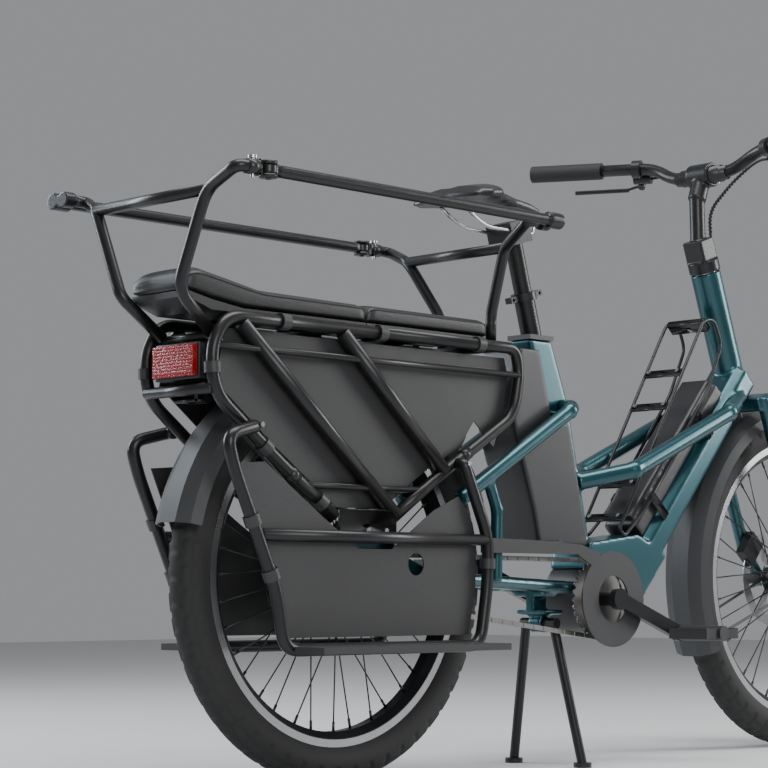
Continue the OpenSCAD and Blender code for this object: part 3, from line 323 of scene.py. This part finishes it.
def box_parts(lo, hi, bevel=0.002, turn=None, centre=None):
    """A box with its 12 edges cut: every corner becomes three points moved in by the bevel."""
    lo, hi = np.array(lo, float), np.array(hi, float)
    mid, half = (lo + hi) / 2, (hi - lo) / 2
    b = min(bevel, half.min() * 0.9)
    verts, index = [], {}
    for sx in (-1, 1):
        for sy in (-1, 1):
            for sz in (-1, 1):
                s = np.array([sx, sy, sz])
                for ax in range(3):
                    v = s * (half - b)
                    v[ax] = s[ax] * half[ax]
                    index[(sx, sy, sz, ax)] = len(verts)
                    verts.append(v)
    faces = []
    for ax in range(3):
        u, w = (ax + 1) % 3, (ax + 2) % 3
        for s in (-1, 1):
            loop = []
            for a, c in ((-1, -1), (1, -1), (1, 1), (-1, 1)):
                key = [0, 0, 0]
                key[ax], key[u], key[w] = s, a, c
                loop.append(index[(*key, ax)])
            faces.append(loop if s > 0 else loop[::-1])
        for a in (-1, 1):
            for c in (-1, 1):
                k0, k1 = [0, 0, 0], [0, 0, 0]
                k0[ax], k1[ax] = -1, 1
                k0[u] = k1[u] = a
                k0[w] = k1[w] = c
                loop = [index[(*k0, u)], index[(*k1, u)], index[(*k1, w)], index[(*k0, w)]]
                faces.append(loop if a * c > 0 else loop[::-1])
    for sx in (-1, 1):
        for sy in (-1, 1):
            for sz in (-1, 1):
                loop = [index[(sx, sy, sz, ax)] for ax in range(3)]
                faces.append(loop if sx * sy * sz > 0 else loop[::-1])
    verts = np.array(verts)
    if turn is not None:
        verts = verts @ np.array(turn, float).T
    return verts + (mid if centre is None else np.array(centre, float)), faces


def rod_parts(a, b, radius, sides=20):
    return sweep_parts([a, b], radius, 0.0, sides)


def piece(name, parts, material, body, node=None, smooth=True):
    """One object from many parts, in place of the CAD node if one is named."""
    obj = add_mesh(name, *join(parts), material, body, smooth)
    if node:
        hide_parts(node)
    return obj


def soften(node, material, voxel, rounds, body):
    """A copy of a CAD node with its sharp edges rounded: remeshed, then averaged a few times."""
    obj = bpy.data.objects.new(node + "_soft", nodes[node].data.copy())
    bpy.context.scene.collection.objects.link(obj)
    obj.data.materials.clear()
    obj.data.materials.append(material)
    remesh = obj.modifiers.new("remesh", "REMESH")
    remesh.mode = "VOXEL"
    remesh.voxel_size = voxel
    remesh.use_smooth_shade = True
    smooth = obj.modifiers.new("smooth", "SMOOTH")
    smooth.factor = 0.5
    smooth.iterations = rounds
    graph = bpy.context.evaluated_depsgraph_get()
    mesh = bpy.data.meshes.new_from_object(obj.evaluated_get(graph))
    obj.modifiers.clear()
    obj.data = mesh
    mesh.polygons.foreach_set("use_smooth", np.full(len(mesh.polygons), True))
    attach(obj, body)
    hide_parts(node)


# %% [markdown]
# ## Materials for the nodes that stay
#
# These CAD nodes already have their real shape, so they only change their finish.

# %% Finish the kept nodes
FINISH = {
    MOULDED: ("footboards", "panel_clips", "cushion_bases", "mast_collar", "ring_lock",
              "pedal_left", "pedal_right", "chain_guard"),
    PANEL: ("side_panels",),
    FENDER: ("rear_fender", "front_fender"),
    BLACK: ("seatpost_lower", "seatpost_upper", "kickstand", "lever_mounts", "brake_lever_left",
            "brake_lever_right"),
    STEEL: ("rear_axle", "front_axle", "headset_bearings", "latch_pin_left", "latch_pin_right"),
    RIM: ("rear_caliper", "front_caliper", "crank_set", "rear_hub", "front_hub", "rear_rim",
          "front_rim"),
    ROTOR: ("rear_rotor", "front_rotor"),
    RUBBER: ("grips",),
    LENS: ("rear_light_lens",),
}
for material, names in FINISH.items():
    for name in names:
        slots = nodes[name].data.materials
        slots.clear()
        slots.append(material)
print("finished nodes", sum(len(names) for names in FINISH.values()))

# %% [markdown]
# ## Frame
#
# Welded tubes have a small fillet at each joint. Remeshing the CAD solid to small voxels and
# averaging the result a few times rounds the edges and leaves that fillet.

# %% Frame, fork, side bars and moulded bodies
SOFTENED = (  # node, material, voxel in metres, rounds of averaging, body
    ("front_frame", TEAL, 0.0028, 10, "frame"),
    ("rear_frame", TEAL, 0.0026, 8, "frame"),
    ("fork", TEAL, 0.0026, 8, "steering"),
    ("motor_unit", MOULDED, 0.003, 8, "frame"),
    ("mast_battery", BATTERY, 0.003, 8, "frame"),
    ("down_tube_battery", BATTERY, 0.0028, 6, "frame"),
    ("stem", BLACK, 0.0018, 5, "steering"),
    ("rear_light_body", MOULDED, 0.0018, 5, "frame"),
    ("side_bar_left", BLACK, 0.0015, 4, "left_side_bar"),
    ("side_bar_right", BLACK, 0.0015, 4, "right_side_bar"),
)
for row in SOFTENED:
    soften(*row)
print("softened")

# %% [markdown]
# ## Rack, guard loops and handrail
#
# Each tube is swept along its real path. The places are millimetres from the rear axle.

# %% Rack tubes
RACK_Y, GUARD_Y = 75, 109  # mm, centre lines of the side tubes
STRUT_Y, RAIL_Y = 76.5, 79
SIDE_TUBE_R, STRUT_R, CROSS_R, RAIL_R = 0.0095, 0.011, 0.008, 0.005
SLEEVE_R, SLEEVE_HALF = 0.0105, 0.009
rack_rear = path([(30, RACK_Y, 682), (-278, RACK_Y, 682), (-306, RACK_Y, 640),
                  (-303, RACK_Y, 572), (-181, RACK_Y, 479), (-66, RACK_Y, 401)])
rack_front = path([(29, RACK_Y, 682), (338, RACK_Y, 682), (346, RACK_Y, 640),
                   (331, RACK_Y, 572), (283, RACK_Y, 543), (153, RACK_Y, 466), (56, RACK_Y, 401)])
side = [sweep_parts(rack_rear, SIDE_TUBE_R, 0.036), sweep_parts(rack_front, SIDE_TUBE_R, 0.034),
        rod_parts(at(-252, STRUT_Y, 674), at(61, STRUT_Y, 404), STRUT_R),
        rod_parts(at(-52, STRUT_Y, 676), at(168, STRUT_Y, 476), STRUT_R),
        rod_parts(at(-303, RAIL_Y, 638), at(342, RAIL_Y, 638), RAIL_R),
        rod_parts(at(-128, RACK_Y, 445), at(118, RACK_Y, 445), RAIL_R),
        box_parts(at(-66, 80.5, 362), at(56, 85.2, 412), 0.003)]
parts = both(side)
for x in (-200, -60, 120, 296):
    parts.append(rod_parts(at(x, -RACK_Y, 682), at(x, RACK_Y, 682), CROSS_R))
parts.append(rod_parts(at(-303.5, -RACK_Y, 577), at(-303.5, RACK_Y, 577), 0.0085))
parts.append(rod_parts(at(-289, -RACK_Y, 654), at(-289, RACK_Y, 654), 0.007))
parts.append(box_parts(at(-296, -28, 560), at(-262, 28, 590), 0.004))
# a bolted split sleeve on each side tube, where the rack comes apart
for x, z, dx, dz in ((-150, 458.0, 115, -78), (216, 503.3, 130, 77)):
    half = Vector((dx, 0, dz)).normalized() * SLEEVE_HALF
    joint = at(x, RACK_Y, z)
    parts += both([rod_parts(joint - half, joint + half, SLEEVE_R)])
piece("rack_tubes", parts, BLACK, "frame", "rack_frame")

# %% Guard loops
guard = path([(-243, 85.5, 524), (-243, 99, 524), (-306, GUARD_Y, 508), (-292, GUARD_Y, 462),
              (-212, GUARD_Y, 291), (-196, GUARD_Y, 205), (214, GUARD_Y, 205),
              (231, GUARD_Y, 300), (233, GUARD_Y, 372), (208, GUARD_Y, 426), (190, 99, 487.9),
              (190, 85.5, 487.9)])
parts = both([sweep_parts(guard, SIDE_TUBE_R, 0.026),
              rod_parts(at(-240, GUARD_Y, 369), at(234, GUARD_Y, 369), 0.009)])
piece("guard_tubes", parts, BLACK, "frame", "guard_loops")

# %% Handrail hoops
HAND_Y, INNER_Y, HAND_Z = 207, 181, 870  # the hoops' outer and inner ends, and their height
HOOP_R, BRIDGE_R = 0.009, 0.0086
LONG_BEND, SHORT_BEND = 0.026, 0.014
EAR_R, PIN_R, NECK_R = 0.013, 0.004, 0.0108
rear_leg = [(-291, 55, 658), (-361, 65, 714), (-361, 126, 848)]
front_leg = [(301, 54, 686), (301, 55, 736), (275, 109, 837)]


def flip(points):
    return [(x, -y, z) for x, y, z in points]


def swivel(x, y, side_x):
    """Two ears, the neck behind them and the pin of a swivel."""
    near, far = sorted((x + side_x * 17, x + side_x * 24))
    return [rod_parts(at(x, y, HAND_Z + 7.2), at(x, y, HAND_Z + 11.8), EAR_R, 28),
            rod_parts(at(x, y, HAND_Z - 11.8), at(x, y, HAND_Z - 7.2), EAR_R, 28),
            rod_parts(at(x, y, HAND_Z - 14), at(x, y, HAND_Z + 14), PIN_R),
            box_parts(at(near, y - 10, HAND_Z - 11.6), at(far, y + 10, HAND_Z + 11.6), 0.003),
            sweep_parts([at(x + side_x * 20, y, HAND_Z), at(x + side_x * 40, y, HAND_Z)],
                        NECK_R, 0)]


def hoop_half(leg, ends, bend):
    return sweep_parts(path(leg + [(x, y, HAND_Z) for x, y in ends]), HOOP_R, bend)


parts = [hoop_half(flip(rear_leg), ((-375, -HAND_Y), (-341, -HAND_Y)), LONG_BEND),
         hoop_half(rear_leg, ((-337, INNER_Y), (-363, INNER_Y)), SHORT_BEND),
         rod_parts(at(-361, -126, 848), at(-361, 126, 848), BRIDGE_R),
         hoop_half(front_leg, ((329, HAND_Y), (285, HAND_Y)), LONG_BEND),
         hoop_half(flip(front_leg), ((251, -INNER_Y), (277, -INNER_Y)), SHORT_BEND),
         rod_parts(at(275, -109, 837), at(275, 109, 837), BRIDGE_R)]
parts += swivel(-318, -HAND_Y, -1) + swivel(262, HAND_Y, 1)
piece("hoop_tubes", parts, BLACK, "frame", "handrail_hoops")
print("tubes done")

# %% [markdown]
# ## Cushions
#
# A cushion is a stack of closed rings along X. Each ring is a superellipse,
# `y = w sgn(c) |c|^p`, `z = h sgn(s) |s|^q` with `c = cos t` and `s = sin t`, so it is nearly flat
# below and rounder on top. The crown adds a height that falls to nothing at the ends and sides, and
# a seam runs along each top edge. The mesh is shaped directly, with no simulation.

# %% Cushions
PAD_HALF, PAD_END = 66, 16       # mm: half the width, and the length over which an end rounds off
SEAM_AT, SEAM_W, SEAM_DEEP = 0.88, 0.03, 1.3  # place and width as shares of the half, depth in mm
PIPING_RINGS = (3, 29)           # the points of a ring where the piping runs, right and left
PAD_TOP_SLACK = 0.004


def pad(name, node, xs, top, bottom):
    """One cushion; top and bottom are the heights over x. It returns its rings in mm."""
    count = 64
    t = np.linspace(0, 2 * np.pi, count, endpoint=False)
    c, s = np.cos(t), np.sin(t)
    rings = []
    x0, x1 = xs[0], xs[-1]
    for k, x in enumerate(xs):
        d = min(x - x0, x1 - x)
        e = min(1.0, d / PAD_END)
        shrink = math.sqrt(max(0.0, 1 - (1 - e) ** 2))
        w = PAD_HALF * (0.86 + 0.14 * shrink) * (1 if 0 < k < len(xs) - 1 else 0.999)
        zt, zb = np.interp(x, *top), np.interp(x, *bottom)
        h = (zt - zb) / 2 * (0.35 + 0.65 * shrink)
        mid = zb + (zt - zb) / 2 * (0.35 + 0.65 * shrink)
        y = w * np.sign(c) * np.abs(c) ** 0.42
        z = h * np.sign(s) * np.abs(s) ** np.where(s > 0, 0.62, 0.3)
        crown = 0.10 * h * shrink * np.clip(1 - (y / w) ** 2, 0, 1) * (s > 0)
        seam = (np.exp(-((y / w - SEAM_AT) / SEAM_W) ** 2)
                + np.exp(-((y / w + SEAM_AT) / SEAM_W) ** 2))
        z = z + crown - SEAM_DEEP * seam * (s > 0.3) * shrink
        rings.append(np.stack([np.full(count, x), y, mid + z], -1))
    verts = np.concatenate(rings) / 1000 + np.array([axle_x, 0, 0])
    verts[:, 2] = np.minimum(verts[:, 2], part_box(node)[1].z + PAD_TOP_SLACK)
    obj = add_mesh(name, verts, ring_faces(len(xs), count), CUSHION, "frame")
    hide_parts(node)
    return rings


tail_x = np.r_[np.linspace(-344, -330, 10), np.linspace(-327, -4, 60), np.linspace(-2, 11, 10)]
tail_rings = pad("cushion_tail", "cushion_rear", tail_x,
                 top=([-344, -318, -262, -200, 11], [746, 751, 741, 729, 726]),
                 bottom=([-344, -296, -237, 11], [717, 706.5, 697.8, 697.8]))
nose_x = np.r_[np.linspace(13, 27, 10), np.linspace(30, 268, 50), np.linspace(270, 284, 10)]
nose_rings = pad("cushion_nose", "cushion_front", nose_x,
                 top=([13, 284], [727, 726]), bottom=([13, 284], [697.8, 697.8]))
parts = [sweep_parts(path([ring[k] for ring in rings[4:-4:3]]), 0.0014, 0.0, 8)
         for rings in (tail_rings, nose_rings) for k in PIPING_RINGS]
piece("cushion_piping", parts, PIPING, "frame")
print("cushions done")

# %% [markdown]
# ## Saddle
#
# The saddle is the same kind of ring stack: its half width follows the outline seen from above, and
# its top dips by `7 (y / 88)^2` towards the sides and by a narrow bell curve along the middle.

# %% Saddle and rails
xs = np.r_[np.linspace(247, 262, 8), np.linspace(268, 462, 44), np.linspace(465, 475, 6)]
half_at = ([247, 252, 275, 305, 350, 400, 464, 475], [44, 74, 86, 80, 42, 24, 18, 6])
top_at = ([247, 262, 300, 380, 440, 475], [934, 948, 956, 949, 944, 934])
low_at = ([247, 270, 380, 468, 475], [926, 924, 931, 924, 928])
SIDES = 48
t = np.linspace(0, 2 * np.pi, SIDES, endpoint=False)
c, s = np.cos(t), np.sin(t)
rows = []
for x in xs:
    w, zt, zb = np.interp(x, *half_at), np.interp(x, *top_at), np.interp(x, *low_at)
    y = w * np.sign(c) * np.abs(c) ** 0.7
    z = (zt + zb) / 2 + (zt - zb) / 2 * np.sign(s) * np.abs(s) ** 0.8
    z = z - 7 * (np.abs(y) / 88) ** 2 - 2.0 * np.exp(-(y / 9) ** 2) * (s > 0) * (x < 430)
    rows.append(np.stack([np.full(SIDES, x), y, z], -1))
verts = np.concatenate(rows) / 1000 + np.array([axle_x, 0, 0])
piece("saddle_skin", [(verts, ring_faces(len(xs), SIDES))], SADDLE, "seat", "saddle")
RAIL_WIRE_R = 0.0035
rail_z = (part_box("saddle_rails")[0].z + RAIL_WIRE_R) * 1000
rail = path([(268, 26, 918), (300, 24, 898), (330, 22, rail_z), (442, 22, rail_z),
             (455, 14, 906), (462, 8, 924)])
piece("rail_wires", both([sweep_parts(rail, RAIL_WIRE_R, 0.016, 14)]), STEEL, "seat",
      "saddle_rails")

# %% [markdown]
# ## Tyres
#
# A tyre is a surface of revolution with 52 rows of blocks. At the angle a round the wheel and the
# angle b across the casing, the radius is the casing's, less the groove depth inside a groove. The
# grooves across the shoulders are shifted by half a block from those in the middle.

# %% Tyres
TYRE_R, CASING_R, CASING_AT = 0.313, 0.0298, 0.030  # outside, and the casing's own radius and place
GROOVE = 0.0021
BLOCK, GAP = 12, 3                                   # steps of one block and of the gap in it
LANE_IN, LANE_OUT, TREAD_END = 0.42, 0.92, 1.35      # angles across the casing


def tyre(name, node, x, body):
    n_around, n_across = 52 * BLOCK, 56
    step = np.arange(n_around)[:, None]
    a = np.linspace(0, 2 * np.pi, n_around, endpoint=False)[:, None]
    b = np.linspace(-2.75, 2.75, n_across)[None, :]
    lane = np.abs(b)
    middle = step % BLOCK < GAP
    shoulder = (step + BLOCK // 2) % BLOCK < GAP
    across = np.where(lane > LANE_IN, shoulder, middle) & (lane < TREAD_END)
    along = (np.abs(lane - LANE_IN) < 0.055) | (np.abs(lane - LANE_OUT) < 0.05)
    r = CASING_R - np.where(across | along, GROOVE, 0.0)
    out = TYRE_R - CASING_AT + r * np.cos(b)
    verts = np.stack([x + out * np.cos(a), r * np.sin(b), hub_z + out * np.sin(a)], -1)
    piece(name, [(verts.reshape(-1, 3), ring_faces(n_around, n_across, closed=True))], TYRE, body,
          node)


tyre("tyre_back", "rear_tyre", axle_x, "rear_wheel")
tyre("tyre_fore", "front_tyre", front_x, "front_wheel")


# %% [markdown]
# ## Spokes and rim edge
#
# Spoke i ends at the angle `10 i` degrees on the rim and starts 34 degrees before or after it on
# the hub flange, so neighbours cross. A nipple covers the last 14 mm.

# %% Spokes
SPOKES, LEAN = 36, 34
RIM_SEAT_R, RIM_SEAT_Y = 0.2352, 0.003
SPOKE_R, NIPPLE_R, NIPPLE_LEN = 0.00115, 0.0021, 0.014


def spokes(name, node, x, flange_r, flange_y, body):
    parts = []
    for i in range(SPOKES):
        side = 1 if i % 2 == 0 else -1
        end = math.radians(i * 360 / SPOKES)
        start = end + math.radians(LEAN if (i // 2) % 2 == 0 else -LEAN)
        p = Vector((x + flange_r * math.cos(start), side * flange_y,
                    hub_z + flange_r * math.sin(start)))
        q = Vector((x + RIM_SEAT_R * math.cos(end), side * RIM_SEAT_Y,
                    hub_z + RIM_SEAT_R * math.sin(end)))
        parts.append(rod_parts(p, q, SPOKE_R, 8))
        parts.append(rod_parts(q - (q - p).normalized() * NIPPLE_LEN, q, NIPPLE_R, 8))
    piece(name, parts, SPOKE, body, node)


spokes("spokes_back", "rear_spokes", axle_x, 0.028, 0.0265, "rear_wheel")
spokes("spokes_fore", "front_spokes", front_x, 0.024, 0.0235, "front_wheel")


def rim_edge(name, x, body):
    """A bright machined ring on each side of the rim."""
    inner, outer, face, back, n = 0.2470, 0.2585, 0.0182, 0.0176, 160
    a = np.linspace(0, 2 * np.pi, n, endpoint=False)
    faces = ring_faces(n, 4, closed=True)
    parts = []
    for s in (-1, 1):
        ring = [np.stack([x + r * np.cos(a), np.full(n, s * y), hub_z + r * np.sin(a)], -1)
                for r, y in ((inner, face), (outer, face), (outer, back), (inner, back))]
        parts.append((np.stack(ring, 1).reshape(-1, 3),
                      faces if s < 0 else [q[::-1] for q in faces]))
    piece(name, parts, STEEL, body, smooth=False)


rim_edge("rim_edge_back", axle_x, "rear_wheel")
rim_edge("rim_edge_fore", front_x, "front_wheel")
print("wheels done")

# %% [markdown]
# ## Chain and toothed wheels
#
# A sprocket of n teeth and pitch p has the pitch radius `p / (2 sin(pi / n))`. The chain's path is
# an arc round each sprocket and the two straight runs between them, which leave the centre line at
# the angle `acos((R - r) / distance)`. Links sit about every 12.7 mm along it, and each link is two
# plates and a roller.

# %% Chain
PITCH = 0.0127
RING_TEETH, COG_TEETH = 32, 16
CHAIN_Y = -0.050
PLATE, ROLLER_R, ROLLER_HALF = (0.0086, 0.0004, 0.0038), 0.0021, 0.0032
OUTER_LINK, INNER_LINK = 0.0026, 0.0016  # how far a link's plates are from the chain's middle

ring_r = PITCH / 2 / math.sin(math.pi / RING_TEETH)
cog_r = PITCH / 2 / math.sin(math.pi / COG_TEETH)
ring_at = np.array([0.572 + axle_x, 0.276])
cog_at = np.array([axle_x, hub_z])
d = ring_at - cog_at
slope = math.atan2(d[1], d[0])
lean = math.acos((ring_r - cog_r) / np.linalg.norm(d))
big = np.linspace(slope + math.pi - lean, slope - math.pi + lean, 80)
small = np.linspace(slope - math.pi + lean, slope - math.pi - lean, 60)
loop = np.concatenate([
    ring_at + ring_r * np.stack([np.cos(big), np.sin(big)], -1),
    cog_at + cog_r * np.stack([np.cos(small), np.sin(small)], -1)])
loop = np.concatenate([loop, loop[:1]])
along = np.r_[0, np.cumsum(np.linalg.norm(np.diff(loop, axis=0), axis=1))]
count = int(round(along[-1] / PITCH)) // 2 * 2
pin_at = np.linspace(0, along[-1], count + 1)
pins = np.stack([np.interp(pin_at, along, loop[:, k]) for k in (0, 1)], -1)
parts = []
for k in range(count):
    p, q = pins[k], pins[k + 1]
    u = (q - p) / np.linalg.norm(q - p)
    turn = np.array([[u[0], 0, -u[1]], [0, 1, 0], [u[1], 0, u[0]]])
    m = (p + q) / 2
    off = OUTER_LINK if k % 2 == 0 else INNER_LINK
    for side in (-1, 1):
        parts.append(box_parts(-np.array(PLATE), PLATE, 0.0003, turn,
                               (m[0], CHAIN_Y + side * off, m[1])))
    parts.append(rod_parts(Vector((p[0], CHAIN_Y - ROLLER_HALF, p[1])),
                           Vector((p[0], CHAIN_Y + ROLLER_HALF, p[1])), ROLLER_R, 8))
piece("chain_links", parts, CHAIN, "frame", "chain", smooth=False)
print("links", count, "length", round(along[-1], 3))


def toothed(name, node, centre, teeth, r, body, bore, boss_r, boss_y):
    """Wheel whose outline is r + a cos(teeth angle), with a bored boss towards the middle."""
    n = teeth * 12
    out_y, in_y = CHAIN_Y - 0.0012, CHAIN_Y + 0.0012
    a = np.linspace(0, 2 * np.pi, n, endpoint=False)
    outline = r + 0.0006 + 0.0026 * np.clip(np.cos(teeth * a) * 1.3, -1, 1)
    rings = [np.stack([centre[0] + rad * np.cos(a), np.full(n, y), centre[1] + rad * np.sin(a)],
                      -1)
             for y, rad in ((out_y, bore), (out_y, outline), (in_y, outline), (in_y, boss_r),
                            (boss_y, boss_r), (boss_y, bore))]
    faces = [q[::-1] for q in ring_faces(len(rings), n, closed=True)]
    piece(name, [(np.concatenate(rings), faces)], CHAIN, body, node, smooth=False)


toothed("ring_teeth", "chainring", ring_at, RING_TEETH, ring_r, "crank", 0.0121, 0.024, -0.0442)
toothed("cog_teeth", "rear_sprocket", cog_at, COG_TEETH, cog_r, "sprocket", 0.01105, 0.020,
        -0.0405)

# %% [markdown]
# ## Bar, hoses and battery carrier
#
# The hoses leave the head of the fork, pass behind the stem and end at the levers. A thin helix of
# 7 mm pitch wraps the middle of each: `core + r (cos w, sin w)` across the hose's direction.

# %% Bar and hoses
clamp, bend, tip = path([(944, 0, 1058), (952, 120, 1090), (868, 350, 1098)])
parts = both([sweep_parts([clamp, at(946, 66, 1058), bend, tip], 0.0111, 0.05, 24)])
for half, radius, sides in ((44, 0.0159, 28), (56, 0.0135, 24)):
    parts.append(rod_parts(at(944, -half, 1058), at(944, half, 1058), radius, sides))
piece("bar_tube", parts, BLACK, "steering", "handlebar")

HOSE_R, WRAP_AT, WRAP_R, WRAP_PITCH = 0.0025, 0.0031, 0.0009, 0.007
bar_way = (tip - bend).normalized()
lever_way = Vector((0.82, 0, -0.57))
out = (lever_way - bar_way * lever_way.dot(bar_way)).normalized()
hose = path([(963.6, 7, 907.9), (957, 7, 940), (951, 9, 992), (992, 34, 1050), (1000, 84, 1084)])
hose.append(bend + bar_way * 0.0113 + out * 0.026)
spine = rounded(hose, 0.03, 14)
along = np.r_[0, np.cumsum(np.linalg.norm(np.diff(spine, axis=0), axis=1))]
run = np.linspace(along[-1] * 0.15, along[-1] * 0.7, 520)
core = np.stack([np.interp(run, along, spine[:, k]) for k in range(3)], -1)
way = np.gradient(core, axis=0)
way /= np.linalg.norm(way, axis=1)[:, None]
n1 = np.cross(way, [0, 1.0, 0])
n1 /= np.linalg.norm(n1, axis=1)[:, None]
n2 = np.cross(way, n1)
phase = run / WRAP_PITCH * 2 * np.pi
helix = core + WRAP_AT * (np.cos(phase)[:, None] * n1 + np.sin(phase)[:, None] * n2)
piece("hoses", both([sweep_parts(hose, HOSE_R, 0.03, 12), sweep_parts(helix, WRAP_R, 0.0, 6)]),
      RUBBER, "steering", "control_hoses")

# %% Battery carrier
DOWN_ANGLE = math.radians(48.1)
CARRIER_Y, CARRIER_TOP, CARRIER_RISE, CARRIER_LONG = 42, 127, 72, 451  # mm
SLATS = (70, 140, 306, 380)
foot = at(702, 0, 277)
ca, sa = math.cos(DOWN_ANGLE), math.sin(DOWN_ANGLE)
turn = np.array([[ca, 0, -sa], [0, 1, 0], [sa, 0, ca]])


def on_down(u, y, n):
    """Place on the down tube: u along it, n out of it, both in mm."""
    return Vector((foot.x + (u * ca - n * sa) / 1000, y / 1000, foot.z + (u * sa + n * ca) / 1000))


def slat_n(u):
    """How far out the carrier's outer wire is at u."""
    return CARRIER_TOP + (u - 46) * CARRIER_RISE / CARRIER_LONG


def plate(half, low, high, bevel, u, y, n):
    """A plate in the down tube's own directions: half its length and width, and its heights."""
    return box_parts((-half[0], -half[1], low), (*half, high), bevel, turn, on_down(u, y, n))


loop = [(262, 102), (404, 107), (500, 132), (520, 178), (497, 199), (46, 127), (47, 108),
        (120, 97), (261, 102)]
parts = both([sweep_parts([on_down(u, CARRIER_Y, n) for u, n in loop], 0.003, 0.016, 14)])
parts += [plate((0.008, 0.042), -0.002, 0.004, 0.0012, u, 0, slat_n(u)) for u in SLATS]
for u in (150, 350):
    parts += both([plate((0.009, 0.0018), -0.028, 0.028, 0.001, u, 44, 74)])
parts.append(plate((0.006, 0.042), -0.013, 0.013, 0.002, 497, 0, 187))
piece("carrier_wires", parts, BLACK, "frame", "battery_carrier")
parts = [rod_parts(on_down(u, y, slat_n(u) + 3.6), on_down(u, y, slat_n(u) + 6.4), 0.0042, 6)
         for u in SLATS for y in (-32, 32)]
piece("carrier_bolts", parts, STEEL, "frame", smooth=False)
print("bar and carrier done")

# %% [markdown]
# ## Small hardware
#
# Six-sided bolt heads, the ribs of the lens and the ruler marks on the seat post.

# %% Bolts, lens ribs and post marks
parts = [rod_parts(at(x, 108, z), at(x, 110.5, z), 0.0042, 6)
         for x, z in ((-240, 526), (190, 487.9))]
parts += [rod_parts(at(x, 85.0, 380), at(x, 88.5, 380), 0.0045, 6) for x in (-8, 30)]
piece("frame_bolts", both(parts), STEEL, "frame", smooth=False)
parts = [rod_parts(at(965, 17, z), at(969.5, 17, z), 0.0032, 6) for z in (1047, 1069)]
piece("stem_bolts", both(parts), STEEL, "steering", smooth=False)

RIBS, RIB_PITCH, RIB = 9, 4.6, 1.6
parts = [box_parts(at(-317.9, -44, z), at(-316.9, 44, z + RIB), 0.0004)
         for z in (602 + k * RIB_PITCH for k in range(RIBS))]
piece("lens_ribs", parts, LENS, "frame", smooth=False)

SEAT_ANGLE = math.radians(74)
post = Vector((-math.cos(SEAT_ANGLE), 0, math.sin(SEAT_ANGLE)))
half_mark = Vector((0.0025, 0, 0))
parts = []
for k in range(9):
    p = at(464, -17.6, 710) + post * (0.020 + 0.006 * k)
    parts.append(rod_parts(p - half_mark, p + half_mark, 0.0003, 6))
piece("post_marks", parts, GREY, "post_lower", smooth=False)

# %% [markdown]
# ## Floor
#
# The floor is staged: it is part of the picture and not of the bicycle.

# %% Floor
FLOOR_HALF = 8.0
corners = [(x * FLOOR_HALF, y * FLOOR_HALF, 0) for x, y in ((-1, -1), (1, -1), (1, 1), (-1, 1))]
floor = add_mesh("floor", corners, [(0, 1, 2, 3)], FLOOR, None, False)
